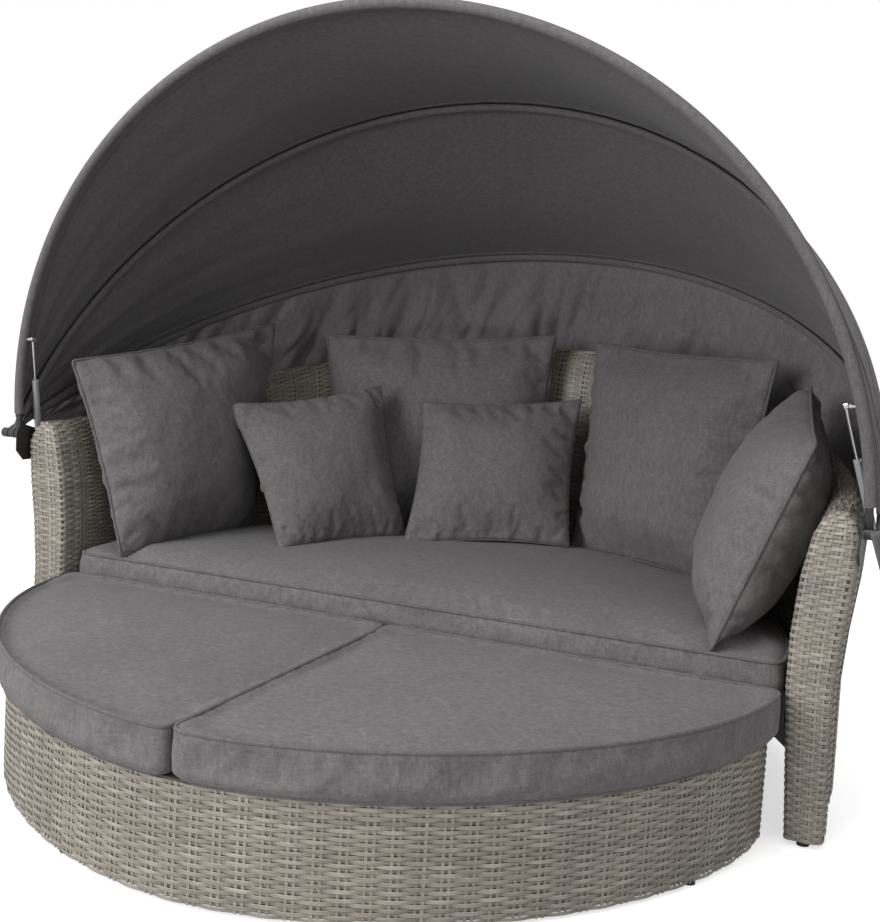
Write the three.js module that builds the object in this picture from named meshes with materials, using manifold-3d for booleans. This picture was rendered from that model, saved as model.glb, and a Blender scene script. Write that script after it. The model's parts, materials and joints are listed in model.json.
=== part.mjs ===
// Round outdoor daybed: woven sofa shell, loose cushions, folding canopy and a half-round footstool.
// Millimetres, +Z up, +Y towards the back of the sofa, origin at the middle of the floor rectangle.
import * as THREE from 'three';
import { mergeVertices } from 'three/addons/utils/BufferGeometryUtils.js';
import Module from 'manifold-3d';

const wasm = await Module();
wasm.setup();

// Clearances
const gap = 0.3;
const weldShare = 0.001;
const runningGap = 0.4;
const overrunDepth = 5;

// Shell: the high woven back that runs round from arm to arm
const shellHalfWidth = 1045;
const shellDepth = 1130;
const armTopHeight = 735;
const backRiseHeight = 270;
const skinThickness = 5;
const skirtHeight = 110;
const innerSkinHeight = 200;
const shellHalfThickness = 55;
const armMidInset = 21;
const shellStations = 32;
const rimPower = 1.5;
const skinStartShare = 0.3;
const shoulderShare = 0.9;

// Woven front posts
const postFrontOffset = -18;
const postDepth = 90;
const glideHeight = 12;
const glideRadius = 14;
const postCornerRadius = 14;

// Frame inside the shell
const frameTubeRadius = 10;
const uprightRadius = 8;
const baseTubeHeight = 130;
const uprightCount = 4;
const rearLegWidth = 64;
const rearLegDepth = 50;
const rearLegAngle = 60;
const frameTubeSides = 6;

// Seat
const deckTopHeight = 284.7;
const deckThickness = 22;
const railFrontOffset = -15;
const railDepth = 40;
const railTopHeight = 325;
const crossbarHeight = 22;
const crossbarWidth = 30;
const crossbarCount = 3;
const crossbarSpanShare = 0.72;
const gussetWidth = 78;
const gussetHeight = 62;
const gussetThickness = 6;
const seatSideClearance = 11;
const seatBackClearance = 12.3;
const seatFrontOffset = 26;
const seatBoxingHeight = 97;
const seatCrownHeight = 30;
const seatArcSteps = 33;
const seatFrontSteps = 8;
const seatFrontShare = 0.85;

// Footstool
const stoolHalfWidth = 925;
const stoolDepth = 889;
const stoolOverhang = 26;
const stoolSideOffset = 19;
const stoolBackOffset = -20;
const stoolWallTopHeight = 238;
const stoolWallBottomHeight = 15;
const stoolWallThickness = 8;
const stoolRoundness = 1.8;
const stoolBoxingHeight = 98;
const stoolCrownHeight = 18;
const stoolSplitWidth = 6;
const stoolFrameWidth = 20;
const stoolDeckThickness = 20;
const stoolArcSteps = 40;
const stoolCushionSteps = 19;

// Loose cushions
const pillowHeight = 500;
const largePillowThickness = 190;
const smallPillowThickness = 145;
const pillowInwardShare = 0.045;
const pillowGrid = 10;
const pillowEdgePower = 3;
const pillowSwellPower = 0.55;

// Canopy
const hubClearance = 2.2;
const pivotOffset = -38;
const pivotHeight = 703;
const bowSpacing = 22;
const bowRadius = 9;
const frontBowHeight = 1094;
const middleBowHeight = 1126;
const rearBowClearance = 23.3;
const frontBowTilt = 7.4;
const middleBowTilt = -30;
const rearBowTilt = -64.5;
const middleBowFold = 31.5;
const frontBowFold = 33.9;
const hubRadius = 13;
const hubThickness = 19;
const pivotBoltRadius = 5;
const boltHeadRadius = 9;
const boltHeadThickness = 5;
const fabricThickness = 2;
const sleeveGap = 0.7;
const panelSagDepth = 24;
const panelFoldDepth = 7;
const panelStartHeight = 72;
const panelFoldCount = 3;
const curtainFootHeight = 720;
const curtainClearance = 95;
const curtainFoldDepth = 5;
const curtainFoldCount = 10;
const bowSteps = 32;
const bowSides = 8;

// Bracket and gas struts
const bracketThickness = 3;
const bracketClearance = 2.3;
const bracketBottomHeight = 632;
const bracketRadius = 28;
const studRadius = 3.5;
const ballRadius = 5.5;
const socketRadius = 9;
const socketThickness = 10;
const strutFootOffset = 40;
const strutFootHeight = 700;
const strutHeadClearance = 32;
const strutHeadShare = 0.24314;
const strutFootClearance = 14.5;
const strutBodyRadius = 9;
const strutRodRadius = 4;
const strutBodyLength = 170;
const strutOverlapLength = 66;
const strutEndWall = 8;
const headGap = 3;
const headRadius = 7;
const headThickness = 8;
const bracketToeRadius = 9;

// Sides of round pieces
const roundSides = 12;
const eyeSides = 16;
const ballRings = 8;
const cornerSteps = 6;
const curveDivisions = 400;

const up = new THREE.Vector3(0, 0, 1);
const axisX = new THREE.Vector3(1, 0, 0);

const part = new THREE.Group();

const looks = {
  wicker: { color: 0xa39a8c, roughness: 0.62, metalness: 0 },
  fabric: { color: 0x5c5957, roughness: 0.95, metalness: 0 },
  canopy: { color: 0x4e4b4a, roughness: 0.95, metalness: 0 },
  steel: { color: 0x6d6a66, roughness: 0.45, metalness: 0.6 },
  black: { color: 0x1d1d1f, roughness: 0.5, metalness: 0.2 },
  bright: { color: 0xc9cbcd, roughness: 0.25, metalness: 0.9 },
  board: { color: 0x4a4640, roughness: 0.8, metalness: 0 },
};

function add(name, geometry, look) {
  const mesh = new THREE.Mesh(geometry, new THREE.MeshStandardMaterial(looks[look]));
  mesh.name = name;
  part.add(mesh);
  return mesh;
}

// Booleans

function positionsOnly(geometry) {
  const bare = geometry.clone();
  bare.deleteAttribute('normal');
  bare.deleteAttribute('uv');
  return mergeVertices(bare, gap * weldShare);
}

function toSolid(geometry) {
  const bare = positionsOnly(geometry);
  const vertProperties = new Float32Array(bare.attributes.position.array);
  const triVerts = new Uint32Array(bare.index.array);
  return new wasm.Manifold(new wasm.Mesh({ numProp: 3, vertProperties, triVerts }));
}

function fromSolid(solid) {
  const result = solid.getMesh();
  const geometry = new THREE.BufferGeometry();
  const positions = new Float32Array(result.vertProperties);
  geometry.setAttribute('position', new THREE.BufferAttribute(positions, 3));
  geometry.setIndex(Array.from(result.triVerts));
  geometry.computeVertexNormals();
  return geometry;
}

function cut(geometry, tools) {
  return fromSolid(tools.reduce((solid, tool) => solid.subtract(toSolid(tool)), toSolid(geometry)));
}

function keepInside(geometry, room) {
  return fromSolid(toSolid(geometry).intersect(toSolid(room)));
}

function join(geometries) {
  const [first, ...rest] = geometries.map(toSolid);
  return fromSolid(rest.reduce((solid, other) => solid.add(other), first));
}

// Shape helpers

function fromTriangles(points, triangles) {
  const geometry = new THREE.BufferGeometry();
  geometry.setAttribute('position', new THREE.Float32BufferAttribute(points.flatMap((p) => p.toArray()), 3));
  geometry.setIndex(triangles.flat());
  geometry.computeVertexNormals();
  return geometry;
}

function flip(triangles) {
  return triangles.map(([a, b, c]) => [a, c, b]);
}

function volumeOf(points, triangles) {
  const cross = new THREE.Vector3();
  return triangles.reduce(
    (sum, [a, b, c]) => sum + points[a].dot(cross.crossVectors(points[b], points[c])), 0);
}

// A closed body from its points and triangles, faces turned outwards
function closedBody(points, triangles) {
  const outward = volumeOf(points, triangles) > 0 ? triangles : flip(triangles);
  return fromTriangles(points, outward);
}

function bandTriangles(startA, startB, count, closed) {
  const triangles = [];
  const last = closed ? count : count - 1;
  for (let i = 0; i < last; i += 1) {
    const next = (i + 1) % count;
    triangles.push([startA + i, startA + next, startB + i]);
    triangles.push([startA + next, startB + next, startB + i]);
  }
  return triangles;
}

// A flat outline's triangles, turned the way the outline runs
function capFaces(ring, capPlane, start) {
  const flat = ring.map((p) => new THREE.Vector2(...capPlane(p)));
  const turn = Math.sign(THREE.ShapeUtils.area(flat));
  return THREE.ShapeUtils.triangulateShape(flat, []).map(([a, b, c]) => {
    const same = Math.sign(THREE.ShapeUtils.area([flat[a], flat[b], flat[c]])) === turn;
    return (same ? [a, b, c] : [a, c, b]).map((i) => i + start);
  });
}

// Rings of equal count joined into a tube, each end closed by its own flat outline
function loft(rings, capPlane) {
  const count = rings[0].length;
  const points = rings.flat();
  const triangles = [];
  for (let i = 0; i + 1 < rings.length; i += 1) {
    triangles.push(...bandTriangles(i * count, (i + 1) * count, count, true));
  }
  triangles.push(...flip(capFaces(rings[0], capPlane, 0)));
  triangles.push(...capFaces(rings.at(-1), capPlane, points.length - count));
  return closedBody(points, triangles);
}

// A curved sheet of even thickness from a grid of points and their normals
function sheet(grid, thickness) {
  const rows = grid.length;
  const columns = grid[0].length;
  const front = grid.flat().map(({ point, normal }) => point.clone().addScaledVector(normal, thickness / 2));
  const back = grid.flat().map(({ point, normal }) => point.clone().addScaledVector(normal, -thickness / 2));
  const points = [...front, ...back];
  const shift = rows * columns;
  const triangles = [];
  for (let row = 0; row + 1 < rows; row += 1) {
    const face = bandTriangles(row * columns, (row + 1) * columns, columns, false);
    triangles.push(...face);
    triangles.push(...flip(face).map((t) => t.map((i) => i + shift)));
  }
  const rim = [];
  for (let column = 0; column < columns; column += 1) rim.push(column);
  for (let row = 1; row < rows; row += 1) rim.push(row * columns + columns - 1);
  for (let column = columns - 2; column >= 0; column -= 1) rim.push((rows - 1) * columns + column);
  for (let row = rows - 2; row > 0; row -= 1) rim.push(row * columns);
  rim.forEach((a, i) => {
    const b = rim[(i + 1) % rim.length];
    triangles.push([b, a, a + shift]);
    triangles.push([b, a + shift, b + shift]);
  });
  return closedBody(points, triangles);
}

function circleShape(radius, sides) {
  const shape = new THREE.Shape();
  for (let i = 0; i < sides; i += 1) {
    const angle = (i / sides) * 2 * Math.PI;
    const point = [radius * Math.cos(angle), radius * Math.sin(angle)];
    if (i === 0) shape.moveTo(...point);
    else shape.lineTo(...point);
  }
  return shape;
}

function tubeAlong(curve, radius, steps, sides) {
  const options = { steps, bevelEnabled: false, extrudePath: curve };
  return new THREE.ExtrudeGeometry(circleShape(radius, sides), options);
}

function curveFrom(pointAt) {
  const curve = new THREE.Curve();
  curve.getPoint = (t, target = new THREE.Vector3()) => target.copy(pointAt(t));
  curve.arcLengthDivisions = curveDivisions;
  return curve;
}

function box(x0, x1, y0, y1, z0, z1) {
  const geometry = new THREE.BoxGeometry(x1 - x0, y1 - y0, z1 - z0);
  return geometry.translate((x0 + x1) / 2, (y0 + y1) / 2, (z0 + z1) / 2);
}

function rod(from, to, radius, sides) {
  const along = new THREE.Vector3().subVectors(to, from);
  const geometry = new THREE.CylinderGeometry(radius, radius, along.length(), sides);
  const turn = new THREE.Quaternion().setFromUnitVectors(new THREE.Vector3(0, 1, 0), along.clone().normalize());
  geometry.applyQuaternion(turn);
  const middle = new THREE.Vector3().addVectors(from, to).multiplyScalar(1 / 2);
  return geometry.translate(middle.x, middle.y, middle.z);
}

function plate(outline, bottom, thickness) {
  const shape = new THREE.Shape(outline.map(([x, y]) => new THREE.Vector2(x, y)));
  const geometry = new THREE.ExtrudeGeometry(shape, { depth: thickness, bevelEnabled: false });
  return geometry.translate(0, 0, bottom);
}

const sides = [['left', -1], ['right', 1]];

// Shell outline: a half ellipse between the posts, rising towards the back

const postBack = postFrontOffset + postDepth;
const shellFront = postBack + gap;
const innerReach = shellHalfThickness + armMidInset;
const seatHalfWidth = shellHalfWidth - innerReach - seatSideClearance;
const seatDepth = shellFront + shellDepth - innerReach - seatBackClearance - seatFrontOffset;

function shellPoint(theta, offset) {
  const normal = new THREE.Vector2(Math.cos(theta) / shellHalfWidth, Math.sin(theta) / shellDepth).normalize();
  return new THREE.Vector3(
    shellHalfWidth * Math.cos(theta) + normal.x * offset,
    shellFront + shellDepth * Math.sin(theta) + normal.y * offset,
    0);
}

function rimHeight(theta) {
  return armTopHeight + backRiseHeight * Math.sin(theta) ** rimPower;
}

// Section of the arm: height, middle offset and half thickness as shares of their sizes
const armSectionShares = [
  [0.00, -0.36, 0.700],
  [0.20, -0.62, 0.780],
  [0.46, -1.00, 0.875],
  [0.62, -0.80, 0.955],
  [0.80, -0.15, 1.000],
  [0.925, 0.40, 0.880],
  [0.975, 0.55, 0.610],
  [1.00, 0.58, 0.260],
];

function sectionAt(heightShare) {
  const next = armSectionShares.findIndex(([share]) => share >= heightShare);
  const index = Math.max(next, 1);
  const [h0, m0, t0] = armSectionShares[index - 1];
  const [h1, m1, t1] = armSectionShares[index];
  const s = (heightShare - h0) / (h1 - h0);
  return { middle: armMidInset * (m0 + (m1 - m0) * s), half: shellHalfThickness * (t0 + (t1 - t0) * s) };
}

// From nothing at the shoulder to one at the rim
function shoulderAt(share) {
  return Math.max(0, (share - shoulderShare) / (1 - shoulderShare));
}

const skinLevelShares = armSectionShares.map(([share]) => share).filter((share) => share > skinStartShare);

function skinRing(theta) {
  const rim = rimHeight(theta);
  const innerShares = [innerSkinHeight / rim, ...skinLevelShares];
  const outerShares = [skirtHeight / rim, innerSkinHeight / rim, ...skinLevelShares];
  const place = (share, side, inset, lift) => {
    const { middle, half } = sectionAt(share);
    const point = shellPoint(theta, middle + side * Math.max(half - inset, overrunDepth));
    point.z = share * rim - lift;
    return point;
  };
  const liftFor = (share) => skinThickness * shoulderAt(share);
  const outside = outerShares.map((share) => place(share, 1, 0, 0));
  const inside = innerShares.map((share) => place(share, -1, 0, 0)).reverse();
  const innerBack = innerShares.map((share) => place(share, -1, skinThickness, liftFor(share)));
  const outerBack = outerShares.map((share) => place(share, 1, skinThickness, liftFor(share))).reverse();
  return [...outside, ...inside, ...innerBack, ...outerBack];
}

function shellAngles() {
  return Array.from({ length: shellStations + 1 }, (_, i) => (i / shellStations) * Math.PI);
}

const shellWeave = loft(shellAngles().map(skinRing), (p) => [p.x, p.z]);
add('shell_weave', shellWeave, 'wicker');

// Woven front posts, with the arm's own section

function postRing(heightShare, side) {
  const { middle, half } = sectionAt(heightShare);
  const centre = shellHalfWidth + middle;
  const r = Math.min(postCornerRadius, half / 2);
  const z = glideHeight + heightShare * (armTopHeight - glideHeight);
  const corners = [[1, 1], [-1, 1], [-1, -1], [1, -1]];
  const round = postCornerRadius * shoulderAt(heightShare) ** 2;
  return corners.flatMap(([sx, sy], quadrant) => [0, 1, 2].map((step) => {
    const angle = (quadrant + step / 2) * (Math.PI / 2);
    const x = centre + sx * (half - r) + r * Math.cos(angle);
    const front = sy < 0 ? round : 0;
    const y = (postFrontOffset + postBack) / 2 + sy * (postDepth / 2 - r) + front + r * Math.sin(angle);
    return new THREE.Vector3(side * x, y, z);
  }));
}

for (const [label, side] of sides) {
  const rings = armSectionShares.map(([share]) => postRing(share, side));
  add(`arm_front_${label}`, loft(rings, (p) => [p.x, p.y]), 'wicker');
}

function glide(x, y) {
  return new THREE.CylinderGeometry(glideRadius, glideRadius, glideHeight - gap, roundSides)
    .rotateX(Math.PI / 2)
    .translate(x, y, (glideHeight - gap) / 2);
}

const footSection = sectionAt(0);
for (const [label, side] of sides) {
  const x = side * (shellHalfWidth + footSection.middle);
  const inset = glideRadius + overrunDepth;
  add(`glide_${label}_front`, glide(x, postFrontOffset + inset), 'black');
  add(`glide_${label}_rear`, glide(x, postBack - inset), 'black');
}

// Tubes inside the shell

const rimDrop = skinThickness + gap + frameTubeRadius;
const topSection = sectionAt(1);

function rimTubePoint(theta) {
  const point = shellPoint(theta, topSection.middle);
  point.z = rimHeight(theta) - rimDrop;
  return point;
}

function baseTubePoint(theta) {
  const rim = rimHeight(theta);
  const point = shellPoint(theta, sectionAt(baseTubeHeight / rim).middle);
  point.z = baseTubeHeight;
  return point;
}

function shellCurve(pointAt) {
  return curveFrom((t) => pointAt(t * Math.PI));
}

const rimCurve = shellCurve(rimTubePoint);
const baseCurve = shellCurve(baseTubePoint);
add('shell_rim_tube', tubeAlong(rimCurve, frameTubeRadius, shellStations, frameTubeSides), 'steel');
add('shell_base_tube', tubeAlong(baseCurve, frameTubeRadius, shellStations, frameTubeSides), 'steel');
const rimTool = tubeAlong(rimCurve, frameTubeRadius + gap, shellStations, frameTubeSides);
const baseTool = tubeAlong(baseCurve, frameTubeRadius + gap, shellStations, frameTubeSides);

const uprightAngles = Array.from({ length: uprightCount }, (_, i) => ((i + 0.5) / uprightCount) * Math.PI);
uprightAngles.forEach((theta, i) => {
  const upright = rod(baseTubePoint(theta), rimTubePoint(theta), uprightRadius, roundSides);
  add(`shell_upright_${i + 1}`, cut(upright, [rimTool, baseTool]), 'steel');
});

const rearLegTurn = THREE.MathUtils.degToRad(rearLegAngle);
for (const [label, side] of sides) {
  const theta = side > 0 ? rearLegTurn : Math.PI - rearLegTurn;
  const place = baseTubePoint(theta);
  const turn = Math.atan2(Math.sin(theta) / shellDepth, Math.cos(theta) / shellHalfWidth);
  const top = baseTubeHeight;
  const leg = box(-rearLegDepth / 2, rearLegDepth / 2, -rearLegWidth / 2, rearLegWidth / 2, glideHeight, top)
    .rotateZ(turn)
    .translate(place.x, place.y, 0);
  add(`rear_leg_${label}`, cut(leg, [baseTool]), 'wicker');
  add(`glide_${label}_back`, glide(place.x, place.y), 'black');
}

// Seat frame

function innerSkinOffset(z, theta) {
  const { middle, half } = sectionAt(z / rimHeight(theta));
  return middle - half;
}

// The room inside the skin between two heights, open in front up to the rail's back face
function roomOutline(low, high) {
  const back = shellAngles().map((theta) => {
    const offset = Math.min(innerSkinOffset(low, theta), innerSkinOffset(high, theta));
    const point = shellPoint(theta, offset - gap);
    return [point.x, point.y];
  });
  const front = railFrontOffset + railDepth + gap;
  return [...back, [back.at(-1)[0], front], [back[0][0], front]];
}

const deckBottom = deckTopHeight - deckThickness;
add('seat_deck', plate(roomOutline(deckBottom, deckTopHeight), deckBottom, deckThickness), 'board');

function postInnerAt(z) {
  const { middle, half } = sectionAt((z - glideHeight) / (armTopHeight - glideHeight));
  return shellHalfWidth + middle - half;
}

const railHalf = Math.min(postInnerAt(deckBottom), postInnerAt(railTopHeight)) - gap;
const railBack = railFrontOffset + railDepth;
add('front_rail', box(-railHalf, railHalf, railFrontOffset, railBack, deckBottom, railTopHeight), 'steel');

const crossbarTop = deckBottom - gap;
const crossbarBottom = crossbarTop - crossbarHeight;
const crossbarSpan = seatDepth * crossbarSpanShare;
const crossbarRoom = plate(roomOutline(crossbarBottom, crossbarTop), crossbarBottom, crossbarHeight);
for (let i = 0; i < crossbarCount; i += 1) {
  const y = shellFront + crossbarSpan * ((i + 0.5) / crossbarCount);
  const edge = crossbarWidth / 2;
  const bar = box(-shellHalfWidth, shellHalfWidth, y - edge, y + edge, crossbarBottom, crossbarTop);
  add(`seat_crossbar_${i + 1}`, keepInside(bar, crossbarRoom), 'steel');
}

for (const [label, side] of sides) {
  const top = deckBottom - gap;
  const outer = Math.min(postInnerAt(top), postInnerAt(top - gussetHeight)) - gap;
  const shape = new THREE.Shape([
    new THREE.Vector2(outer, top),
    new THREE.Vector2(outer - gussetWidth, top),
    new THREE.Vector2(outer, top - gussetHeight),
  ]);
  const plateShape = new THREE.ExtrudeGeometry(shape, { depth: gussetThickness, bevelEnabled: false })
    .rotateX(Math.PI / 2)
    .translate(0, railBack - gap, 0);
  add(`gusset_${label}`, side > 0 ? plateShape : mirrored(plateShape), 'black');
}

function mirrored(geometry) {
  const copy = positionsOnly(geometry);
  copy.scale(-1, 1, 1);
  const index = copy.index.array;
  for (let i = 0; i < index.length; i += 3) {
    [index[i], index[i + 1]] = [index[i + 1], index[i]];
  }
  copy.computeVertexNormals();
  return copy;
}

// Boxed cushions: a plan outline, a straight boxing and a crowned top

// Rings of the boxing and the crown: share of the outline's size, share of the height
const boxingShares = [[0.97, 0], [1, 0.08], [1, 1]];
const crownShares = [[0.92, 0.3], [0.8, 0.58], [0.6, 0.82], [0.3, 0.97]];

function boxedCushion(outline, bottom, boxing, crown) {
  const centre = outline.reduce((sum, [x, y]) => sum.add(new THREE.Vector2(x, y)), new THREE.Vector2())
    .multiplyScalar(1 / outline.length);
  const ringAt = (scale, z) => outline.map(([x, y]) => new THREE.Vector3(
    centre.x + (x - centre.x) * scale, centre.y + (y - centre.y) * scale, z));
  const top = bottom + boxing;
  const rings = [
    ...boxingShares.map(([scale, rise]) => ringAt(scale, bottom + boxing * rise)),
    ...crownShares.map(([scale, rise]) => ringAt(scale, top + crown * rise)),
  ];
  const count = outline.length;
  const points = rings.flat();
  const triangles = [];
  for (let i = 0; i + 1 < rings.length; i += 1) {
    triangles.push(...bandTriangles(i * count, (i + 1) * count, count, true));
  }
  const bottomCentre = points.push(new THREE.Vector3(centre.x, centre.y, bottom)) - 1;
  const topCentre = points.push(new THREE.Vector3(centre.x, centre.y, top + crown)) - 1;
  const last = (rings.length - 1) * count;
  for (let i = 0; i < count; i += 1) {
    const next = (i + 1) % count;
    triangles.push([bottomCentre, next, i]);
    triangles.push([topCentre, last + i, last + next]);
  }
  return closedBody(points, triangles);
}

function arcPoints(count, from, to, pointAt) {
  return Array.from({ length: count }, (_, i) => pointAt(from + ((to - from) * i) / (count - 1)));
}

const seatBottom = deckTopHeight + gap;

function seatArc(t) {
  return [seatHalfWidth * Math.cos(t), seatFrontOffset + seatDepth * Math.sin(t)];
}

function seatEdge(share) {
  return [seatHalfWidth * share, seatFrontOffset];
}

const seatOutline = [
  ...arcPoints(seatArcSteps + 1, 0, Math.PI, seatArc),
  ...arcPoints(seatFrontSteps + 1, -seatFrontShare, seatFrontShare, seatEdge),
];
const seatCushion = boxedCushion(seatOutline, seatBottom, seatBoxingHeight, seatCrownHeight);
add('seat_cushion', seatCushion, 'fabric');

// Footstool

const cushionHalfWidth = stoolHalfWidth + stoolOverhang;
const cushionDepth = stoolDepth + stoolOverhang;

// A point of the half round plan at an angle from its right end, with its back edge on the X axis
function stoolArc(t, halfWidth, depth) {
  const power = 2 / stoolRoundness;
  const x = halfWidth * Math.sign(Math.cos(t)) * Math.abs(Math.cos(t)) ** power;
  return [x, -depth * Math.abs(Math.sin(t)) ** power];
}

function stoolEdge(t, inset) {
  const [x, y] = stoolArc(t, stoolHalfWidth - inset, stoolDepth - 2 * inset);
  return [x, stoolBackOffset - inset + y];
}

// The cushions stand out beyond the wall at the sides and in front
function stoolCushionEdge(t) {
  const [x, y] = stoolArc(t, cushionHalfWidth, cushionDepth);
  return [x, stoolBackOffset + y];
}

// The footstool stands a little to one side of the sofa's middle
function addStool(name, geometry, look) {
  add(name, geometry.translate(stoolSideOffset, 0, 0), look);
}

function stoolOutline(inset) {
  return arcPoints(stoolArcSteps + 1, 0, Math.PI, (t) => stoolEdge(t, inset));
}

function stoolRing(outerInset, innerInset, bottom, height) {
  const hole = plate(stoolOutline(innerInset), bottom - overrunDepth, height + 2 * overrunDepth);
  return cut(plate(stoolOutline(outerInset), bottom, height), [hole]);
}

const wallInner = stoolWallThickness;
const wallHeight = stoolWallTopHeight - stoolWallBottomHeight;
addStool('footstool_weave', stoolRing(0, wallInner, stoolWallBottomHeight, wallHeight), 'wicker');
const frameOuter = wallInner + gap;
const frameInner = frameOuter + stoolFrameWidth;
addStool('footstool_frame', stoolRing(frameOuter, frameInner, stoolWallBottomHeight, stoolFrameWidth), 'steel');
const stoolDeckBottom = stoolWallTopHeight - stoolDeckThickness;
addStool('footstool_deck', plate(stoolOutline(frameOuter), stoolDeckBottom, stoolDeckThickness), 'board');

const middleRunShares = [0.75, 0.5, 0.25, 0];
const backRunShares = [0.25, 0.5, 0.75];
const stoolGlideShares = [[0.12, 0], [0.88, 1], [0.38, 2], [0.62, 3]];
for (const [share, number] of stoolGlideShares) {
  const [x, y] = stoolEdge(share * Math.PI, frameOuter + stoolFrameWidth / 2);
  const height = stoolWallBottomHeight - gap;
  const foot = new THREE.CylinderGeometry(glideRadius, glideRadius, height, roundSides)
    .rotateX(Math.PI / 2)
    .translate(x, y, height / 2);
  addStool(`footstool_glide_${number + 1}`, foot, 'black');
}

for (const [label, side] of sides) {
  const split = side * (stoolSplitWidth / 2);
  const arcEnd = Math.PI / 2 - stoolSplitWidth / 2 / cushionHalfWidth;
  const halfArc = arcPoints(stoolCushionSteps + 1, 0, arcEnd, stoolCushionEdge);
  const arc = halfArc.map(([x, y]) => [side * x, y]);
  const frontTip = [split, arc.at(-1)[1]];
  const middleRun = middleRunShares.map((s) => [split, stoolBackOffset - cushionDepth * s]);
  const backRun = backRunShares.map((s) => [side * cushionHalfWidth * s, stoolBackOffset]);
  const outline = [...arc, frontTip, ...middleRun, ...backRun];
  const cushion = boxedCushion(outline, stoolWallTopHeight + gap, stoolBoxingHeight, stoolCrownHeight);
  addStool(`footstool_cushion_${label}`, cushion, 'fabric');
}

// Loose cushions: corners as shares of the seat's half width, its depth and the cushion's height

const pillowShares = {
  cushion_large_left: {
    bottomLeft: [-0.851, 0.004, 0], bottomRight: [-0.783, 0.527, 0.03],
    topLeft: [-1.021, -0.024, 1.05], topRight: [-0.78, 0.6, 1.30],
  },
  cushion_large_back_left: {
    bottomLeft: [-0.585, 0.70, 0], bottomRight: [0.063, 0.90, 0],
    topLeft: [-0.693, 0.775, 1.22], topRight: [0.045, 0.985, 1.30],
  },
  cushion_large_back_right: {
    bottomLeft: [0.19, 0.868, 0.02], bottomRight: [0.765, 0.585, 0.02],
    topLeft: [0.188, 0.986, 1.30], topRight: [0.832, 0.619, 1.28],
  },
  cushion_large_right: {
    bottomLeft: [0.72, 0.527, 0.05], bottomRight: [0.835, 0.004, 0],
    topLeft: [0.937, 0.545, 1.17], topRight: [1.026, 0.049, 0.96],
  },
  cushion_scatter_left: {
    bottomLeft: [-0.49, 0.242, 0], bottomRight: [-0.28, 0.628, 0.01],
    topLeft: [-0.759, 0.343, 0.78], topRight: [-0.418, 0.664, 0.92],
  },
  cushion_scatter_right: {
    bottomLeft: [-0.245, 0.545, 0], bottomRight: [0.218, 0.756, 0.03],
    topLeft: [-0.299, 0.729, 0.83], topRight: [0.175, 0.912, 0.9],
  },
};

function pillowCorner([x, y, z]) {
  const floor = seatBottom + seatBoxingHeight;
  return new THREE.Vector3(x * seatHalfWidth, seatFrontOffset + y * seatDepth, floor + z * pillowHeight);
}

function pillow(shares, thickness) {
  const corner = Object.fromEntries(Object.entries(shares).map(([name, share]) => [name, pillowCorner(share)]));
  const across = new THREE.Vector3().subVectors(corner.bottomRight, corner.bottomLeft);
  const upward = new THREE.Vector3().subVectors(corner.topLeft, corner.bottomLeft);
  const normal = new THREE.Vector3().crossVectors(across, upward).normalize();
  const middle = new THREE.Vector3();
  Object.values(corner).forEach((p) => middle.addScaledVector(p, 1 / 4));
  const points = [];
  const index = new Map();
  const pointAt = (i, j, face) => {
    const u = (2 * i) / pillowGrid - 1;
    const v = (2 * j) / pillowGrid - 1;
    const onEdge = Math.abs(u) === 1 || Math.abs(v) === 1;
    const key = `${i},${j},${onEdge ? 0 : face}`;
    if (index.has(key)) return index.get(key);
    const low = corner.bottomLeft.clone().lerp(corner.bottomRight, (u + 1) / 2);
    const high = corner.topLeft.clone().lerp(corner.topRight, (u + 1) / 2);
    const point = low.lerp(high, (v + 1) / 2);
    const sideways = Math.abs(u) ** pillowEdgePower * (1 - v ** 2);
    const upright = Math.abs(v) ** pillowEdgePower * (1 - u ** 2);
    point.lerp(middle, pillowInwardShare * (sideways + upright));
    const swell = ((1 - u ** 2) * (1 - v ** 2)) ** pillowSwellPower;
    point.addScaledVector(normal, onEdge ? 0 : (face * thickness * swell) / 2);
    index.set(key, points.push(point) - 1);
    return index.get(key);
  };
  // Each cell is split so that its diagonal points at the nearest corner of the cushion
  const triangles = [];
  for (const face of [1, -1]) {
    for (let i = 0; i < pillowGrid; i += 1) {
      for (let j = 0; j < pillowGrid; j += 1) {
        const cell = [[i, j], [i + 1, j], [i + 1, j + 1], [i, j + 1]];
        const [a, b, c, d] = cell.map(([p, q]) => pointAt(p, q, face));
        const cornerOnFirst = (i < pillowGrid / 2) === (j < pillowGrid / 2);
        const quad = cornerOnFirst ? [[a, b, c], [a, c, d]] : [[a, b, d], [b, c, d]];
        triangles.push(...(face > 0 ? quad : flip(quad)));
      }
    }
  }
  return closedBody(points, triangles);
}

// Lowers a loose cushion until it rests on the seat, and moves it forward if it meets the shell or another one
function settle(geometry, neighbours) {
  const clearOf = (solid) => toSolid(geometry).intersect(solid).isEmpty();
  const seat = toSolid(seatCushion);
  while (clearOf(seat)) geometry.translate(0, 0, -overrunDepth);
  while (!clearOf(seat)) geometry.translate(0, 0, gap);
  while (!neighbours.every(clearOf)) {
    geometry.translate(0, -overrunDepth, 0);
    while (!clearOf(seat)) geometry.translate(0, 0, gap);
  }
  return geometry;
}

const placed = [toSolid(shellWeave)];
for (const [name, shares] of Object.entries(pillowShares)) {
  const thickness = name.includes('large') ? largePillowThickness : smallPillowThickness;
  const cushion = settle(pillow(shares, thickness), placed);
  placed.push(toSolid(cushion));
  add(name, cushion, 'fabric');
}

// Canopy bows: half ellipses in planes that turn on one axis through both pivots

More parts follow.
